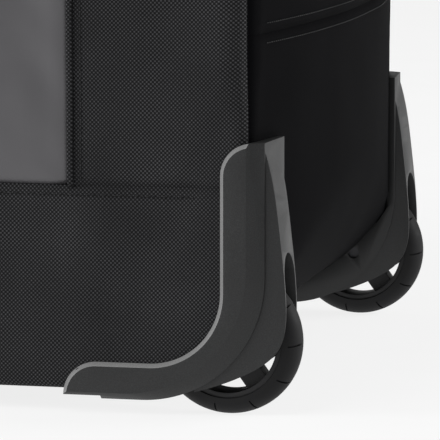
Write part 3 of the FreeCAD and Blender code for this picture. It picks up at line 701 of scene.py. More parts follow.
def build_walls(sizes):
    for name, side in SIDES.items():
        rows, uvs = side_rows(side, FLOOR_GAP, SIDE_SEAM, SIDE_COLUMNS, sizes)
        piece = dress(grid_object(f"lower_side_cloth_{name}", rows, uvs), "ballistic", "lining")
        settle(thicken(piece, WALL), "shell", "ballistic_nylon", f"lower_side_{name}")
        for panel, columns in (("handle_corner", [x for x in SIDE_COLUMNS if x < -TARP_X + 1e-6]),
                               ("wheel_corner", [x for x in SIDE_COLUMNS if x > TARP_X - 1e-6])):
            rows, uvs = side_rows(side, SIDE_SEAM, WALL_TOP, columns, sizes)
            piece = dress(grid_object(f"{panel}_cloth_{name}", rows, uvs), "ballistic", "lining")
            settle(thicken(piece, WALL), "shell", "ballistic_nylon", f"{panel}_{name}")
    for name, end in (("handle_end", -1), ("wheel_end", 1)):
        for level, low, high in (("lower", FLOOR_GAP, END_SEAM), ("upper", END_SEAM, WALL_TOP)):
            rows, uvs = end_rows(end, low, high, sizes)
            keep = clear_of_wheels if end > 0 else (lambda middle: True)
            piece = dress(grid_object(f"{name}_cloth_{level}", rows, uvs, keep=keep), "end", "lining")
            settle(thicken(piece, WALL), "shell", "end_nylon", f"{name}_{level}")
    first = wall_rings()[0][0]
    rows, uvs = [], []
    for y in spaced(-first.half_y, first.half_y, 0.0145):
        rows.append([Vector((x, y, FLOOR_GAP)) for x in spaced(FLAT_X, -FLAT_X, 0.0145)])
        uvs.append([(p.x, p.y) for p in rows[-1]])
    piece = grid_object("bottom_cloth", rows, uvs,
                        keep=lambda middle: middle.x < WELL_X or abs(middle.y) < WELL_Y)
    settle(thicken(dress(piece, "ballistic", "lining"), WALL), "shell", "ballistic_nylon", "bottom_panel")


def tarp_sag(x, z, side, sizes):
    """Soft slanting folds that run down the coated panel and fade at its edges; the panel sinks a little along its
    ends and lower edge.
    """
    edge = min(TARP_X - abs(x), z - SIDE_SEAM, WALL_TOP - z)
    hold = smoothstep(0.0, 0.016, edge)
    lean = x + 0.35 * (z - 0.26) * (1 if x > 0 else -1)
    folds = wave(lean, side, z * 0.25, 26.0, SEED + 12) + 0.55 * wave(lean, side, z * 0.5, 52.0, SEED + 15)
    broad = wave(x, side, z, 8.0, SEED + 14)
    sunk = -0.0016 * (1 - smoothstep(0.0, 0.012, TARP_X - abs(x))) - 0.0012 * (
        1 - smoothstep(0.0, 0.010, z - SIDE_SEAM))
    return sizes.tarp_fold * (0.62 * folds + 0.5 * broad) * hold + sunk - 0.0005


def build_tarpaulins(sizes):
    columns = spaced(-TARP_X, TARP_X, 0.0044)
    heights = spaced(SIDE_SEAM, WALL_TOP, 0.0046)
    for name, side in SIDES.items():
        rows, uvs = [], []
        for z in heights:
            row = [Vector((x, side * (HALF_WIDTH + tarp_sag(x, z, side, sizes)), z)) for x in columns]
            uv = [(x, z) for x in columns]
            rows.append(row if side < 0 else row[::-1])
            uvs.append(uv if side < 0 else uv[::-1])
        piece = dress(grid_object(f"tarpaulin_panel_{name}", rows, uvs), "tarp", "lining")
        settle(thicken(piece, 0.0022), "shell", "tarpaulin", f"tarpaulin_{name}")


def opening_ring(z, margin):
    return Ring(z, LID_X + margin, LID_Y + margin, 0.0, LID_ROUND + margin)


def course(ring):
    """Every column of a whole course, anticlockwise from above, for the top border."""
    points = []
    corner_steps, long_steps, short_steps = 8, 110, 50
    sx, sy = ring.half_x - ring.corner, ring.half_y - ring.corner
    for side, end in ((-1, 1), (1, -1)):
        points += [ring.long_point(-end * sx + 2 * end * sx * k / long_steps, side) for k in range(long_steps)]
        for k in range(corner_steps):
            angle = math.pi / 2 * k / corner_steps
            points.append(Vector((end * (sx + ring.corner * math.sin(angle)),
                                  side * (sy + ring.corner * math.cos(angle)), ring.z)))
        points += [ring.short_point(side * sy - 2 * side * sy * k / short_steps, end) for k in range(short_steps)]
        for k in range(corner_steps):
            angle = math.pi / 2 * k / corner_steps
            points.append(Vector((end * (sx + ring.corner * math.cos(angle)),
                                  -side * (sy + ring.corner * math.sin(angle)), ring.z)))
    return points


def build_top(sizes):
    corner = 0.020
    rings = [Ring(z, CORNER_X, HALF_WIDTH, FULL_SWELL, corner) for z in (WALL_TOP, WALL_TOP + 0.0026)]
    base = LID_Z - TOP_ROUND
    for k in range(11):
        angle = math.pi / 2 * k / 10
        inset = TOP_ROUND * (1 - math.cos(angle))
        rings.append(Ring(base + TOP_ROUND * math.sin(angle), CORNER_X - 0.7 * inset, HALF_WIDTH - inset,
                          FULL_SWELL * (1 - inset / TOP_ROUND * 0.75), corner + 0.9 * inset))
    rows = [course(ring) for ring in rings]
    inner = course(opening_ring(LID_Z, 0.0008))
    last = rows[-1]
    for k in range(1, 9):
        t = k / 8
        rows.append([a.lerp(b, t) for a, b in zip(last, inner)])
    uvs = []
    travelled = [0.0] * len(rows[0])
    for j, row in enumerate(rows):
        if j:
            travelled = [s + (a - b).length for s, a, b in zip(travelled, row, rows[j - 1])]
        along, uv = 0.0, []
        for i in range(len(row) + 1):
            uv.append((along, WALL_TOP + travelled[i % len(row)]))
            along += (rows[0][(i + 1) % len(row)] - rows[0][i % len(row)]).length
        uvs.append(uv)
    for row in rows[1:-2]:
        for point in row:
            rise = 1.4 * sizes.wall_wave * wave(point.x, point.y, point.z, 9.0, SEED + 20)
            near = min(1.0, (point.z - WALL_TOP) / 0.02)
            point += Vector((0, 0, -abs(rise) * near))
    piece = dress(grid_object("top_border_cloth", rows, uvs, closed=True), "end", "lining")
    settle(thicken(piece, WALL), "shell", "end_nylon", "top_border")


def lid_rise(x, y, sizes):
    edge = min(LID_X - abs(x), LID_Y - abs(y))
    hold = smoothstep(0.004, 0.05, edge)
    crown = 0.0055 * (1 - (x / LID_X) ** 4) * (1 - (y / LID_Y) ** 2)
    folds = wave(x, y, 0, 13.0, SEED + 31) + 0.5 * wave(x, y, 0, 31.0, SEED + 32)
    return hold * (crown + 0.0032 * folds)


def build_lid(sizes):
    rows, uvs = [], []
    for y in spaced(-LID_Y, LID_Y, 0.0058):
        over = max(0.0, abs(y) - (LID_Y - LID_ROUND))
        half = LID_X - LID_ROUND + math.sqrt(max(0.0, LID_ROUND ** 2 - over ** 2))
        row = [Vector((t * half, y, LID_Z)) for t in spaced(-1, 1, 0.0155)]
        for point in row:
            point.z += lid_rise(point.x, point.y, sizes)
        rows.append(row)
        uvs.append([(p.x, p.y) for p in row])
    piece = thicken(dress(grid_object("lid_cloth", rows, uvs), "tarp", "lining"), WALL)
    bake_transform(piece)
    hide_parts("lid")


# ---------------------------------------------------------------- repeated pieces by geometry nodes


def repeat_tree(name, unit_kind):
    """Nodes that set small units along curves: named inputs, then realized with their material."""
    tree = bpy.data.node_groups.new(name, "GeometryNodeTree")
    face = tree.interface
    face.new_socket("Geometry", in_out="INPUT", socket_type="NodeSocketGeometry")
    face.new_socket("Pitch", in_out="INPUT", socket_type="NodeSocketFloat")
    face.new_socket("Length", in_out="INPUT", socket_type="NodeSocketFloat")
    face.new_socket("Thickness", in_out="INPUT", socket_type="NodeSocketFloat")
    face.new_socket("Finish", in_out="INPUT", socket_type="NodeSocketMaterial")
    face.new_socket("Seed", in_out="INPUT", socket_type="NodeSocketInt")
    face.new_socket("Geometry", in_out="OUTPUT", socket_type="NodeSocketGeometry")
    nodes, link = tree.nodes, tree.links.new
    start, end = nodes.new("NodeGroupInput"), nodes.new("NodeGroupOutput")
    curve = nodes.new("GeometryNodeMeshToCurve")
    resample = nodes.new("GeometryNodeResampleCurve")
    resample.mode = "LENGTH"
    instance = nodes.new("GeometryNodeInstanceOnPoints")
    align = nodes.new("FunctionNodeAlignRotationToVector")
    align.axis = "X"
    tangent = nodes.new("GeometryNodeInputTangent")
    if unit_kind == "stitch":
        unit = nodes.new("GeometryNodeMeshUVSphere")
        unit.inputs["Segments"].default_value = 8
        unit.inputs["Rings"].default_value = 5
        unit.inputs["Radius"].default_value = 0.5
    else:
        unit = nodes.new("GeometryNodeMeshCube")
        unit.inputs["Size"].default_value = (1, 1, 1)
    jitter = nodes.new("FunctionNodeRandomValue")
    jitter.data_type = "FLOAT"
    jitter.inputs[2].default_value = 0.88
    jitter.inputs[3].default_value = 1.04
    size = nodes.new("ShaderNodeCombineXYZ")
    grow = nodes.new("ShaderNodeVectorMath")
    grow.operation = "SCALE"
    realize = nodes.new("GeometryNodeRealizeInstances")
    paint = nodes.new("GeometryNodeSetMaterial")
    link(start.outputs["Geometry"], curve.inputs["Mesh"])
    link(curve.outputs["Curve"], resample.inputs["Curve"])
    link(start.outputs["Pitch"], resample.inputs["Length"])
    link(resample.outputs["Curve"], instance.inputs["Points"])
    link(unit.outputs["Mesh"], instance.inputs["Instance"])
    link(tangent.outputs["Tangent"], align.inputs["Vector"])
    link(align.outputs["Rotation"], instance.inputs["Rotation"])
    link(start.outputs["Length"], size.inputs["X"])
    link(start.outputs["Thickness"], size.inputs["Y"])
    link(start.outputs["Thickness"], size.inputs["Z"])
    link(start.outputs["Seed"], jitter.inputs["Seed"])
    link(size.outputs["Vector"], grow.inputs[0])
    link(jitter.outputs[1], grow.inputs["Scale"])
    link(grow.outputs["Vector"], instance.inputs["Scale"])
    link(instance.outputs["Instances"], realize.inputs["Geometry"])
    link(realize.outputs["Geometry"], paint.inputs["Geometry"])
    link(start.outputs["Finish"], paint.inputs["Material"])
    link(paint.outputs["Geometry"], end.inputs["Geometry"])
    return tree


TREES = {}


def repeat_along(name, lines, kind, pitch, length, thickness, finish, body):
    """Set stitches or teeth along lines of points and give the plain mesh to a body."""
    if kind not in TREES:
        TREES[kind] = repeat_tree(f"{kind}_rows", kind)
    tree = TREES[kind]
    vertices, edges = [], []
    for line in lines:
        first = len(vertices)
        vertices += [tuple(point) for point in line]
        edges += [(first + k, first + k + 1) for k in range(len(line) - 1)]
    mesh = bpy.data.meshes.new(name)
    mesh.from_pydata(vertices, edges, [])
    piece = bpy.data.objects.new(name, mesh)
    bpy.context.scene.collection.objects.link(piece)
    rows = piece.modifiers.new("rows", "NODES")
    rows.node_group = tree
    values = {"Pitch": pitch, "Length": length, "Thickness": thickness, "Finish": FINISH[finish], "Seed": SEED}
    for item in tree.interface.items_tree:
        if item.in_out == "INPUT" and item.name in values:
            rows[item.identifier] = values[item.name]
    bake(piece)
    piece.data.polygons.foreach_set("use_smooth", [kind == "stitch"] * len(piece.data.polygons))
    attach(piece, body)
    return piece


def side_line(side, places, sizes, proud=0.0003):
    """Points on a long side's cloth for (x, z) places."""
    line = []
    for x, z in places:
        line.append(Vector((x, side * (HALF_WIDTH + side_swell(x, z, side, sizes) + proud), z)))
    return line


def end_line(end, places, sizes, proud=0.0004):
    line = []
    for y, z in places:
        ring = Ring(z, CORNER_X, HALF_WIDTH, FULL_SWELL,
                    0.009 + 0.011 * smoothstep(GUARD_TOP, GUARD_TOP + 0.06, z))
        point = ring.short_point(y, end)
        point.x += end * (end_swell(y, z, end, sizes) + proud)
        line.append(point)
    return line


def build_stitches(sizes):
    pitch, length, thick = sizes.stitch, sizes.stitch * STITCH_SHARE, 0.00075
    lines = []
    edge_x = CORNER_X - 0.012
    for side in SIDES.values():
        z = SIDE_SEAM - 0.0055
        lines.append(side_line(side, [(x, z) for x in spaced(-edge_x, GUARD_SEAM_END, 0.006)], sizes))
        for end in (-1, 1):
            x = end * (TARP_X + 0.0072)
            heights = spaced(SIDE_SEAM + 0.004, WALL_TOP - 0.004, 0.006)
            lines.append(side_line(side, [(x, z) for z in heights], sizes))
            xs = spaced(end * TARP_X + end * 0.003, end * edge_x, 0.006)
            lines.append(side_line(side, [(x, WALL_TOP - 0.006) for x in xs], sizes))
    repeat_along("side_stitches", lines, "stitch", pitch, length, thick, "thread", "shell")
    lines = []
    for end in (-1, 1):
        for z in (END_SEAM + 0.006, END_SEAM - 0.006):
            lines.append(end_line(end, [(y, z) for y in spaced(-0.2, 0.2, 0.006)], sizes))
    repeat_along("end_stitches", lines, "stitch", pitch, length, thick, "thread", "shell")


# ---------------------------------------------------------------- hems, straps and handles


def ribbon(name, path, outward, width, thickness, crown=0.0, round_edge=0.35):
    """A woven band: path points, the direction it faces at each, with a soft lens-shaped section."""
    steps = 8
    section = []
    for k in range(steps + 1):
        t = -1 + 2 * k / steps
        section.append((t, math.sqrt(max(0.0, 1 - abs(t) ** 6)) * 0.5 + crown * (1 - t * t)))
    for k in range(steps - 1, 0, -1):
        t = -1 + 2 * k / steps
        section.append((t, -math.sqrt(max(0.0, 1 - abs(t) ** 6)) * 0.5))
    rows, uvs, along = [], [], 0.0
    for j, point in enumerate(path):
        before, after = path[max(0, j - 1)], path[min(len(path) - 1, j + 1)]
        tangent = (after - before).normalized()
        up = outward[j] - tangent * outward[j].dot(tangent)
        up.normalize()
        across = tangent.cross(up)
        rows.append([point + across * (t * width / 2) + up * (h * thickness) for t, h in section])
        if j:
            along += (point - path[j - 1]).length
        uvs.append([(along, t * width / 2) for t, h in section] + [(along, section[0][0] * width / 2)])
    piece = grid_object(name, rows, uvs, closed=True)
    cap_ends(piece)
    return face_outwards(piece)


def cap_ends(piece):
    shape = bmesh.new()
    shape.from_mesh(piece.data)
    bmesh.ops.holes_fill(shape, edges=[e for e in shape.edges if e.is_boundary], sides=0)
    shape.to_mesh(piece.data)
    shape.free()


def build_hems(sizes):
    """Folded edge of the corner cloth, sewn over the edge of the tarpaulin."""
    for name, side in SIDES.items():
        parts = []
        for end in (-1, 1):
            x = end * (TARP_X + 0.0006)
            heights = spaced(SIDE_SEAM + 0.0005, WALL_TOP - 0.0005, 0.006)
            path = side_line(side, [(x, z) for z in heights], sizes, 0.0006)
            parts.append(ribbon(f"tarpaulin_hem_{name}_{end}", path, [Vector((0, side, 0))] * len(path),
                                0.0042, 0.0030, 0.15))
        piece = join(f"tarpaulin_hem_{name}", parts)
        settle(dress(piece, "ballistic"), "shell", "patch_fabric", f"tarpaulin_piping_{name}")


def join(name, parts):
    shape = bmesh.new()
    for part in parts:
        shape.from_mesh(part.data)
    mesh = bpy.data.meshes.new(name)
    layers = parts[0].data.uv_layers
    if layers and not shape.loops.layers.uv:
        shape.loops.layers.uv.new(layers[0].name)
    shape.to_mesh(mesh)
    shape.free()
    for part in parts:
        bpy.data.objects.remove(part)
    piece = bpy.data.objects.new(name, mesh)
    bpy.context.scene.collection.objects.link(piece)
    return piece


def build_straps(sizes):
    """Two load straps that run under the bag and up both sides."""
    parts, lines = [], []
    for middle in (-(STRAP_X - 0.019), STRAP_X - 0.019):
        path, facing = [], []
        gap = 0.0016

        def side_point(side, z):
            out = HALF_WIDTH + gap + 0.35 * side_swell(middle, z, side, sizes)
            return Vector((middle, side * out, z))

        for z in spaced(STRAP_TOP, FLOOR_GAP + 0.008, 0.008):
            path.append(side_point(-1, z))
            facing.append(Vector((0, -1, 0)))
        for angle in (22, 45, 68):
            turn = math.radians(angle)
            path.append(Vector((middle, -(HALF_WIDTH - 0.008 + (0.008 + gap) * math.cos(turn)),
                                FLOOR_GAP + 0.008 - (0.008 + gap) * math.sin(turn))))
            facing.append(Vector((0, -math.cos(turn), -math.sin(turn))))
        for y in spaced(-(HALF_WIDTH - 0.008), HALF_WIDTH - 0.008, 0.016):
            path.append(Vector((middle, y, FLOOR_GAP - gap)))
            facing.append(Vector((0, 0, -1)))
        for angle in (68, 45, 22):
            turn = math.radians(angle)
            path.append(Vector((middle, HALF_WIDTH - 0.008 + (0.008 + gap) * math.cos(turn),
                                FLOOR_GAP + 0.008 - (0.008 + gap) * math.sin(turn))))
            facing.append(Vector((0, math.cos(turn), -math.sin(turn))))
        for z in spaced(FLOOR_GAP + 0.008, STRAP_TOP, 0.008):
            path.append(side_point(1, z))
            facing.append(Vector((0, 1, 0)))
        parts.append(ribbon(f"strap_{middle:.2f}", path, facing, WEBBING_WIDTH, 0.0024))
        for offset in (-STITCH_INSET, STITCH_INSET):
            for side in (-1, 1):
                lines.append([side_point(side, z) + Vector((offset, side * 0.0014, 0))
                              for z in spaced(FLOOR_GAP + 0.02, STRAP_SEAM_TOP, 0.008)])
        for side in (-1, 1):
            low, high = STRAP_BOX
            for a, b in (((-STITCH_INSET, low), (STITCH_INSET, high)), ((-STITCH_INSET, high), (STITCH_INSET, low)),
                         ((-STITCH_INSET, low), (STITCH_INSET, low)), ((-STITCH_INSET, high), (STITCH_INSET, high))):
                lines.append([side_point(side, a[1] + (b[1] - a[1]) * k / 6)
                              + Vector((a[0] + (b[0] - a[0]) * k / 6, side * 0.0015, 0)) for k in range(7)])
    piece = join("load_strap_webbing", parts)
    settle(dress(piece, "webbing"), "shell", "webbing", "load_straps")
    repeat_along("strap_stitches", lines, "stitch", sizes.stitch, sizes.stitch * STITCH_SHARE, 0.0007, "thread",
                 "shell")


def loop_path(span, drop):
    """A hanging U in its own plane: x across, z down from the fold; the corner webbing bends softly."""
    radius = 0.030 + 0.019
    points = [(-span / 2, 0.0 - (drop - radius) * k / 12) for k in range(12)]
    for k in range(13):
        angle = math.pi + math.pi / 2 * k / 12
        points.append((-span / 2 + radius + radius * math.cos(angle), -drop + radius + radius * math.sin(angle)))
    count = 16
    points += [(-span / 2 + radius + (span - 2 * radius) * k / count, -drop) for k in range(1, count)]
    for k in range(13):
        angle = -math.pi / 2 + math.pi / 2 * k / 12
        points.append((span / 2 - radius + radius * math.cos(angle), -drop + radius + radius * math.sin(angle)))
    points += [(span / 2, -(drop - radius) * (1 - k / 12)) for k in range(1, 13)]
    return points


def grip_mesh(name, length, height, depth, place):
    """A padded wrap round the webbing: crowned, pinched at its ends, with a seam along the back."""
    rows, uvs = [], []
    around = 32
    for k in range(29):
        t = -1 + 2 * k / 28
        end = 1 - 0.22 * abs(t) ** 8
        swell = 1 + 0.10 * (1 - t * t) - 0.05 * math.exp(-((abs(t) - 0.86) / 0.05) ** 2)
        row = []
        for i in range(around):
            angle = 2 * math.pi * i / around
            c, s = math.cos(angle), math.sin(angle)
            power = 0.42
            y = math.copysign(abs(c) ** power, c) * height / 2 * end
            z = math.copysign(abs(s) ** 0.75, s) * depth / 2 * swell * end
            groove = 0.0007 * math.exp(-((y / 0.0016) ** 2)) if s < 0 else 0
            row.append(place(t * length / 2, y, z + groove))
        rows.append(row)
        uvs.append([(t * length / 2, 0.1 * i / around) for i in range(around + 1)])
    piece = grid_object(name, rows, uvs, closed=True)
    cap_ends(piece)
    return face_outwards(piece)


def build_handle(body, loop_node, grip_node, span, drop, place, facing, sizes):
    """place(x, z, out) puts the loop's own plane on the bag; out is away from the bag."""
    points = loop_path(span, drop)
    path = [place(x, z, 0.0) for x, z in points]
    loop = ribbon(loop_node + "_webbing", path, [facing] * len(path), WEBBING_WIDTH, 0.0027, 0.06)
    settle(dress(loop, "webbing"), body, "webbing", loop_node)
    box_lo, box_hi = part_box(grip_node)
    size = box_hi - box_lo
    length, depth = max(size.x, size.y), min(size.x, size.y)
    grip = grip_mesh(grip_node + "_wrap", length, size.z, depth * 0.92,
                     lambda along, up, out: place(along, -drop + up, out))
    settle(dress(grip, "grip"), body, "grip_wrap", grip_node)
    lines = []
    for across in (-STITCH_INSET, STITCH_INSET):
        inner = []
        for j, (x, z) in enumerate(points):
            before, after = points[max(0, j - 1)], points[min(len(points) - 1, j + 1)]
            dx, dz = after[0] - before[0], after[1] - before[1]
            long = math.hypot(dx, dz) or 1
            inner.append(place(x - dz / long * across, z + dx / long * across, 0.0014))
        lines.append(inner)
    repeat_along(loop_node + "_stitches", lines, "stitch", sizes.stitch, sizes.stitch * STITCH_SHARE, 0.0006,
                 "thread", body)
    ring = [place(-length * 0.43, -drop - size.z * 0.46 + size.z * 0.92 * k / 8, depth * 0.49) for k in range(9)]
    ring2 = [place(length * 0.43, -drop - size.z * 0.46 + size.z * 0.92 * k / 8, depth * 0.49) for k in range(9)]
    repeat_along(grip_node + "_stitches", [ring, ring2], "stitch", sizes.stitch, sizes.stitch * STITCH_SHARE, 0.0006,
                 "thread", body)


def build_handles(sizes):
    for name, side in SIDES.items():
        low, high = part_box(f"carry_handle_{name}")
        y, fold, drop = (low.y + high.y) / 2, high.z - 0.0015, high.z - low.z - 0.019 - 0.0015

        def on_side(a, up, out, y=y, side=side, fold=fold):
            return Vector((-side * a, y + side * out, fold + up))

        build_handle(f"carry_{name}", f"carry_handle_{name}", f"carry_grip_{name}",
                     high.x - low.x - WEBBING_WIDTH, drop, on_side, Vector((0, side, 0)), sizes)
    for name, end in (("tow", -1), ("grab", 1)):
        low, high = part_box(f"{name}_handle")
        x, fold, drop = (low.x + high.x) / 2, high.z - 0.0015, high.z - low.z - 0.019 - 0.0015
        build_handle(name, f"{name}_handle", f"{name}_grip", high.y - low.y - 0.038, drop,
                     lambda a, up, out, x=x, end=end, fold=fold: Vector((x + end * out, end * a, fold + up)),
                     Vector((end, 0, 0)), sizes)


def build_patches(sizes):
    """Sewn patches that hold the two end handles."""
    parts, lines = [], []
    low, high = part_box("end_handle_patches")
    half_z, middle_z = (high.z - low.z) / 2, (high.z + low.z) / 2
    for end in (-1, 1):
        face = end * (high.x if end > 0 else -low.x)
        for leg in (-1, 1):
            rows, uvs = [], []
            y_mid = leg * 0.075
            for v in spaced(-1, 1, 0.1):
                row, uv = [], []
                for u in spaced(-1, 1, 0.1):
                    y, z = y_mid + u * 0.0225, middle_z + v * (half_z - 0.0005)
                    wall = end_line(end, [(y, z)], sizes, 0)[0].x
                    edge = 1 - max(abs(u), abs(v)) ** 6
                    row.append(Vector((wall * (1 - edge) + (face - end * 0.0006) * edge, y, z)))
                    uv.append((y, z))
                rows.append(row if end > 0 else row[::-1])
                uvs.append(uv if end > 0 else uv[::-1])
            parts.append(grid_object(f"patch_{end}_{leg}", rows, uvs))
            ring = [(-0.75, -0.8), (0.75, -0.8), (0.75, 0.8), (-0.75, 0.8), (-0.75, -0.8), (0.75, 0.8)]
            for (u0, v0), (u1, v1) in zip(ring, ring[1:]):
                lines.append([Vector((face + end * 0.0001 - end * 0.0006, y_mid + (u0 + (u1 - u0) * k / 8) * 0.0225,
                                      middle_z + (v0 + (v1 - v0) * k / 8) * half_z)) for k in range(9)])
    piece = join("end_patch_cloth", parts)
    piece = thicken(dress(piece, "patch"), 0.0012)
    settle(piece, "shell", "patch_fabric", "end_handle_patches")
    repeat_along("patch_stitches", lines, "stitch", sizes.stitch, sizes.stitch * 0.7, 0.0006, "thread", "shell")


# ---------------------------------------------------------------- zip


def zip_line(margin, z):
    """The open part of the lid's outline, from the hinge side round the front and back."""
    ring = opening_ring(z, margin)
    points = [p for p in course(ring)]
    start = min(range(len(points)), key=lambda k: (abs(points[k].y - (LID_Y - LID_ROUND)) + (points[k].x > 0)))
    ordered = points[start:] + points[:start]
    if ordered[1].y > ordered[0].y:
        ordered = [ordered[0]] + ordered[:0:-1]
    line = []
    for p in ordered:
        if p.y > LID_Y - LID_ROUND + 1e-4 and line:
            break
        line.append(p)
    return line


def build_zip(sizes):
    tape_low, tape_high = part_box("zip_tape_border")
    z0, z1 = tape_low.z, tape_high.z
    for name, body, inner, outer in (("border", "shell", 0.0012, 0.0128), ("lid", "lid", -0.0128, -0.0004)):
        near, far = zip_line(inner, z0), zip_line(outer, z0)
        rows, uvs = [], []
        for t, height in TAPE_SECTION:
            row = [a.lerp(b, t) + Vector((0, 0, height)) for a, b in zip(near, far)]
            along, uv = 0.0, []
            for i, point in enumerate(row):
                along += (point - row[i - 1]).length if i else 0
                uv.append((along, t * 0.012))
            rows.append(row)
            uvs.append(uv)
        piece = face_outwards(grid_object(f"zip_{name}_tape", rows, uvs))
        if sum(face.normal.z * face.area for face in piece.data.polygons) < 0:
            piece.data.flip_normals()
        settle(dress(piece, "zip_tape"), body, "zip_tape", f"zip_tape_{name}")
        margin = 0.0013 if name == "border" else -0.0009
        teeth = zip_line(margin, z0 + 0.0009)
        repeat_along(f"zip_{name}_teeth", [teeth], "tooth", sizes.tooth_pitch, 0.0017, 0.0020, "tooth", body)
        seam = zip_line(0.0105 if name == "border" else -0.0105, z0 + 0.001)
        repeat_along(f"zip_{name}_stitches", [seam], "stitch", sizes.stitch, sizes.stitch * STITCH_SHARE, 0.0006,
                     "thread", body)


def build_sliders():
    for name, way in (("front", 1), ("back", -1)):
        piece = merged_copy(f"zip_slider_{name}", f"zip_slider_body_{name}")
        low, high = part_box(f"zip_slider_{name}")
        waist(piece, low, high)
        settle(dress(soften(piece, 0.0007, 2), "zip_metal"), f"slider_{name}", "zip_metal",
               f"zip_slider_{name}")
        low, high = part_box(f"zip_pull_{name}")
        pull = pull_mesh(f"zip_pull_tab_{name}", low, high, way)
        settle(dress(pull, "zip_metal"), f"pull_{name}", "zip_metal", f"zip_pull_{name}")


def waist(piece, low, high):
    """Draw a slider in at the middle of its length."""
    shape = bmesh.new()
    shape.from_mesh(piece.data)
    bmesh.ops.subdivide_edges(shape, edges=[e for e in shape.edges if e.calc_length() > 0.006], cuts=6,
                              use_grid_fill=True)
    middle = (low + high) / 2
    for vertex in shape.verts:
        t = (vertex.co.x - middle.x) / ((high.x - low.x) / 2)
        vertex.co.y = middle.y + (vertex.co.y - middle.y) * (0.80 + 0.20 * t * t)
    shape.to_mesh(piece.data)
    shape.free()


def pull_mesh(name, low, high, way):
    """A tapered tab, wider near the slider end and again towards the other."""
    middle = (low + high) / 2
    outline = []
    length, width = high.x - low.x, high.y - low.y
    for t, w in ((0.0, 0.30), (0.04, 0.40), (0.12, 0.46), (0.3, 0.38), (0.55, 0.40), (0.8, 0.5), (0.93, 0.47),
                 (0.985, 0.36), (1.0, 0.22)):
        outline.append((t * length, w * width))
    ring = [(x, w) for x, w in outline] + [(x, -w) for x, w in reversed(outline)]
    start = low.x if way > 0 else high.x
    vertices = [Vector((start + way * x, middle.y + y, low.z)) for x, y in ring]
    shape = bmesh.new()
    face = shape.faces.new([shape.verts.new(v) for v in vertices])
    top = bmesh.ops.extrude_face_region(shape, geom=[face])
    bmesh.ops.translate(shape, vec=(0, 0, high.z - low.z),
                        verts=[g for g in top["geom"] if isinstance(g, bmesh.types.BMVert)])
    bmesh.ops.recalc_face_normals(shape, faces=shape.faces)
    mesh = bpy.data.meshes.new(name)
    shape.to_mesh(mesh)
    shape.free()
    piece = bpy.data.objects.new(name, mesh)
    bpy.context.scene.collection.objects.link(piece)
    return soften(piece, 0.0006, 3)


# ---------------------------------------------------------------- wheels and guards


def build_wheels(sizes):
    for name, side in SIDES.items():
        centre = Vector((WHEEL.x, side * abs(WHEEL.y), WHEEL.z))
        body = f"wheel_{name}"
        build_tyre(name, centre, body, sizes)
        rim = soften(merged_copy(f"rim_{name}", f"rim_casting_{name}"), 0.0011, 3, 40)
        settle(dress(rim, "rim"), body, "rim_plastic", f"rim_{name}")
        nut = soften(merged_copy(f"axle_nut_{name}", f"axle_nut_hex_{name}"), 0.0004, 2)
        settle(dress(nut, "steel"), "shell", "steel", f"axle_nut_{name}")


def build_tyre(name, centre, body, sizes):
    """Round tread with a thin bead line at the rim and short sipes across each shoulder."""
    low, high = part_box(f"tyre_{name}")
    half = (high.y - low.y) / 2
    outer = (high.z - low.z) / 2
    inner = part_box(f"rim_{name}")[1].z - centre.z
    middle = outer - half
    reach = math.acos((inner - middle) / half)
    profile = [(inner, -half * math.sin(reach) + 0.0004), (inner + 0.0002, -half * math.sin(reach))]
    steps = 26
    for k in range(1, steps):
        angle = -reach + 2 * reach * k / steps
        radius = middle + half * math.cos(angle)
        if abs(abs(angle) - reach * 0.86) < reach * 0.045:
            radius -= 0.0004
        profile.append((radius, half * math.sin(angle)))
    profile += [(inner + 0.0002, half * math.sin(reach)), (inner, half * math.sin(reach) - 0.0004)]
    count = sizes.sipes
    columns = []
    for k in range(count):
        start = 2 * math.pi * k / count
        columns += [(start + offset, cut) for offset, cut in
                    ((-0.028, 0), (-0.013, 0), (-0.010, 1), (0.010, 1), (0.013, 0), (0.028, 0))]
        columns += [(start + 2 * math.pi / count * t, 0) for t in (0.3, 0.5, 0.7)]
    columns.sort()
    rows = []
    for angle, cut in columns:
        number = int(round(angle / (2 * math.pi / count)))
        row = []
        for radius, along in profile:
            share = along / half
            shoulder = 0.30 < share < 0.86 if number % 2 else -0.86 < share < -0.30
            deep = 0.0016 if cut and shoulder else 0.0
            slant = 0.05 * share
            row.append(centre + Vector(((radius - deep) * math.cos(angle + slant), along,
                                        (radius - deep) * math.sin(angle + slant))))
        rows.append(row)
    piece = grid_closed(f"tyre_tread_{name}", rows)
    smooth_by_angle(piece, 50)
    settle(dress(piece, "tyre"), body, "tyre", f"tyre_{name}")


def build_guards():
    for name in SIDES:
        piece = merged_copy(f"wheel_guard_{name}", f"guard_moulding_{name}")
        soften(piece, 0.0006, 2, 24)
        paint_bevel_highlight(piece)
        settle(piece, "shell", "guard_plastic", f"wheel_guard_{name}")
        well = soften(merged_copy(f"wheel_well_{name}", f"well_liner_{name}"), 0.0008, 2)
        settle(dress(well, "liner"), "shell", "liner_plastic", f"wheel_well_{name}")
        foot = soften(merged_copy(f"foot_{name}", f"skid_foot_{name}"), 0.0018, 3)
        settle(dress(foot, "guard"), "shell", "guard_plastic", f"foot_{name}")


def paint_bevel_highlight(piece):
    """Give the bevel along the inside of the L its smoother, polished finish, whose much lighter colour is a painted
    highlight, and the rest the grained one.
    """
    dress(piece, "guard", "bevel")
    for face in piece.data.polygons:
        # bevel faces, which get the painted highlight
        turned = 0.45 < abs(face.normal.y) < 0.9 and face.normal.x < 0.15 and face.normal.z > -0.15
        if turned and abs(face.center.y) > HALF_WIDTH + 0.0003:
            face.material_index = 1


# ---------------------------------------------------------------- plain frame nodes


KEPT = {"zip_metal": ["axle_{}"],
        "steel": ["axle_washers_{}", "bearings_{}", "bearing_spacer_{}"],
        "liner": ["guard_rivets_{}"]}


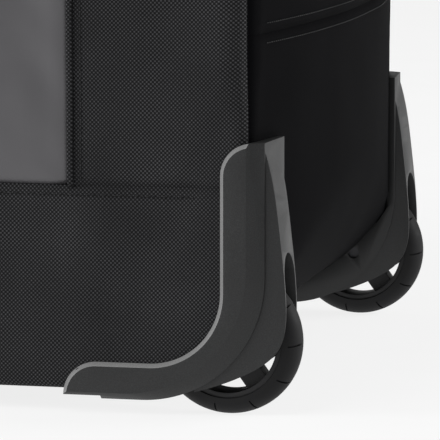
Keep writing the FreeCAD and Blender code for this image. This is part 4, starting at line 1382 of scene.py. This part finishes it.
def finish_kept_nodes():
    """Better materials for the frame nodes whose shape is already right."""
    chosen = {"base_board": "board", "foot_screws": "steel"}
    for finish, patterns in KEPT.items():
        for pattern in patterns:
            for name in SIDES:
                chosen[pattern.format(name)] = finish
    for node, finish in chosen.items():
        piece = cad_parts[node]
        for index in range(len(piece.material_slots)):
            piece.material_slots[index].link = "OBJECT"
            piece.material_slots[index].material = FINISH[finish]


# ---------------------------------------------------------------- stage


def build_stage():
    scene = bpy.context.scene
    floor = object_of("studio_floor", [(-9, -9, 0), (9, -9, 0), (9, 9, 0), (-9, 9, 0)], [(0, 1, 2, 3)],
                      smooth=False)
    finish = Finish("studio_paper")
    place = finish.coordinates()
    grain = finish.noise(place, 12.0, 2.0)
    finish.colour(finish.mix(finish.spread(grain, 0.3, 0.7, 0, 1), (0.145, 0.145, 0.145), (0.155, 0.155, 0.155)))
    finish.set(Roughness=0.95, Specular_IOR_Level=0.0, Emission_Color=(1, 1, 1, 1), Emission_Strength=0.83)
    floor.data.materials.append(finish.material)
    world = bpy.data.worlds.new("studio")
    world.use_nodes = True
    world.node_tree.nodes["Background"].inputs["Color"].default_value = (1, 1, 1, 1)
    world.node_tree.nodes["Background"].inputs["Strength"].default_value = 0.30
    scene.world = world
    aim = Vector((WHEEL.x - 0.05, -0.15, 0.12))
    for name, place, size, power in (("key_softbox", (-2.5, -1.55, 1.15), 1.1, 62.0),
                                     ("rim_softbox", (2.7, 1.0, 1.0), 1.3, 44.0),
                                     ("top_softbox", (-0.4, -1.9, 2.6), 1.3, 22.0)):
        light = bpy.data.lights.new(name, "AREA")
        light.shape = "SQUARE"
        light.size = size
        light.energy = power
        lamp = bpy.data.objects.new(name, light)
        scene.collection.objects.link(lamp)
        lamp.location = place
        lamp.rotation_euler = (aim - Vector(place)).to_track_quat("-Z", "Y").to_euler()
    camera = bpy.data.cameras.new("camera")
    camera.sensor_width = 36.0
    camera.lens = CAMERA_LENS
    camera.clip_end = 50
    eye = bpy.data.objects.new("camera", camera)
    scene.collection.objects.link(eye)
    eye.location = (WHEEL.x + CAMERA_OFFSET, *CAMERA_PLACE)
    forward = Vector(CAMERA_FORWARD).normalized()
    right = Vector((forward.y, -forward.x, 0)).normalized()
    up = right.cross(forward)
    eye.rotation_euler = Matrix((right, up, -forward)).transposed().to_euler()
    scene.camera = eye
    scene.view_settings.view_transform = "Standard"


# ---------------------------------------------------------------- operators


def settings():
    return bpy.context.scene.hockey_bag_sizes


class BAG_OT_finishes(bpy.types.Operator):
    """Make the node materials"""
    bl_idname = "bag.finishes"
    bl_label = "Finishes"

    def execute(self, context):
        make_finishes(bpy.context.scene.hockey_bag_colours, settings())
        return {"FINISHED"}


class BAG_OT_walls(bpy.types.Operator):
    """Build the side, corner, end and bottom cloth"""
    bl_idname = "bag.walls"
    bl_label = "Fabric walls"

    def execute(self, context):
        build_walls(settings())
        return {"FINISHED"}


class BAG_OT_tarpaulins(bpy.types.Operator):
    """Build the coated side panels"""
    bl_idname = "bag.tarpaulins"
    bl_label = "Tarpaulins"

    def execute(self, context):
        build_tarpaulins(settings())
        return {"FINISHED"}


class BAG_OT_top(bpy.types.Operator):
    """Build the rounded border round the lid"""
    bl_idname = "bag.top"
    bl_label = "Top border"

    def execute(self, context):
        build_top(settings())
        return {"FINISHED"}


class BAG_OT_lid(bpy.types.Operator):
    """Build the lid cloth"""
    bl_idname = "bag.lid"
    bl_label = "Lid"

    def execute(self, context):
        build_lid(settings())
        return {"FINISHED"}


class BAG_OT_hems(bpy.types.Operator):
    """Build the folded hems beside the tarpaulins"""
    bl_idname = "bag.hems"
    bl_label = "Hems"

    def execute(self, context):
        build_hems(settings())
        return {"FINISHED"}


class BAG_OT_straps(bpy.types.Operator):
    """Build the straps that run under the bag"""
    bl_idname = "bag.straps"
    bl_label = "Load straps"

    def execute(self, context):
        build_straps(settings())
        return {"FINISHED"}


class BAG_OT_handles(bpy.types.Operator):
    """Build the four handles and their grips"""
    bl_idname = "bag.handles"
    bl_label = "Handles"

    def execute(self, context):
        build_handles(settings())
        return {"FINISHED"}


class BAG_OT_patches(bpy.types.Operator):
    """Build the patches of the end handles"""
    bl_idname = "bag.patches"
    bl_label = "Patches"

    def execute(self, context):
        build_patches(settings())
        return {"FINISHED"}


class BAG_OT_zip(bpy.types.Operator):
    """Build the zip's tapes and teeth"""
    bl_idname = "bag.zip"
    bl_label = "Zip"

    def execute(self, context):
        build_zip(settings())
        return {"FINISHED"}


class BAG_OT_sliders(bpy.types.Operator):
    """Build the zip sliders and pulls"""
    bl_idname = "bag.sliders"
    bl_label = "Sliders"

    def execute(self, context):
        build_sliders()
        return {"FINISHED"}


class BAG_OT_stitches(bpy.types.Operator):
    """Sew the seams"""
    bl_idname = "bag.stitches"
    bl_label = "Stitches"

    def execute(self, context):
        build_stitches(settings())
        return {"FINISHED"}


class BAG_OT_wheels(bpy.types.Operator):
    """Build the tyres, rims and nuts"""
    bl_idname = "bag.wheels"
    bl_label = "Wheels"

    def execute(self, context):
        build_wheels(settings())
        return {"FINISHED"}


class BAG_OT_guards(bpy.types.Operator):
    """Build the wheel guards, wells and feet"""
    bl_idname = "bag.guards"
    bl_label = "Guards"

    def execute(self, context):
        build_guards()
        return {"FINISHED"}


class BAG_OT_hardware(bpy.types.Operator):
    """Give the plain frame nodes their finish"""
    bl_idname = "bag.hardware"
    bl_label = "Hardware"

    def execute(self, context):
        finish_kept_nodes()
        return {"FINISHED"}


class BAG_OT_stage(bpy.types.Operator):
    """Set the floor, lights and camera"""
    bl_idname = "bag.stage"
    bl_label = "Stage"

    def execute(self, context):
        build_stage()
        return {"FINISHED"}


OPERATORS = [BAG_OT_finishes, BAG_OT_walls, BAG_OT_tarpaulins, BAG_OT_top, BAG_OT_lid,
             BAG_OT_hems, BAG_OT_straps, BAG_OT_handles, BAG_OT_patches, BAG_OT_zip,
             BAG_OT_sliders, BAG_OT_stitches, BAG_OT_wheels, BAG_OT_guards, BAG_OT_hardware,
             BAG_OT_stage]


class BAG_PT_panel(bpy.types.Panel):
    bl_label = "Hockey bag"
    bl_idname = "BAG_PT_panel"
    bl_space_type = "VIEW_3D"
    bl_region_type = "UI"
    bl_category = "Hockey bag"

    def draw(self, context):
        for group in (context.scene.hockey_bag_sizes, context.scene.hockey_bag_colours):
            for name in group.__annotations__:
                self.layout.prop(group, name)
        for kind in OPERATORS:
            self.layout.operator(kind.bl_idname)


CLASSES = [BagSizes, BagColours, *OPERATORS, BAG_PT_panel]


def register():
    for kind in CLASSES:
        bpy.utils.register_class(kind)
    bpy.types.Scene.hockey_bag_sizes = PointerProperty(type=BagSizes)
    bpy.types.Scene.hockey_bag_colours = PointerProperty(type=BagColours)


def unregister():
    del bpy.types.Scene.hockey_bag_sizes
    del bpy.types.Scene.hockey_bag_colours
    for kind in reversed(CLASSES):
        bpy.utils.unregister_class(kind)


def main():
    register()
    for kind in OPERATORS:
        getattr(bpy.ops.bag, kind.bl_idname.split(".")[1])()


if __name__ == "__main__":
    main()
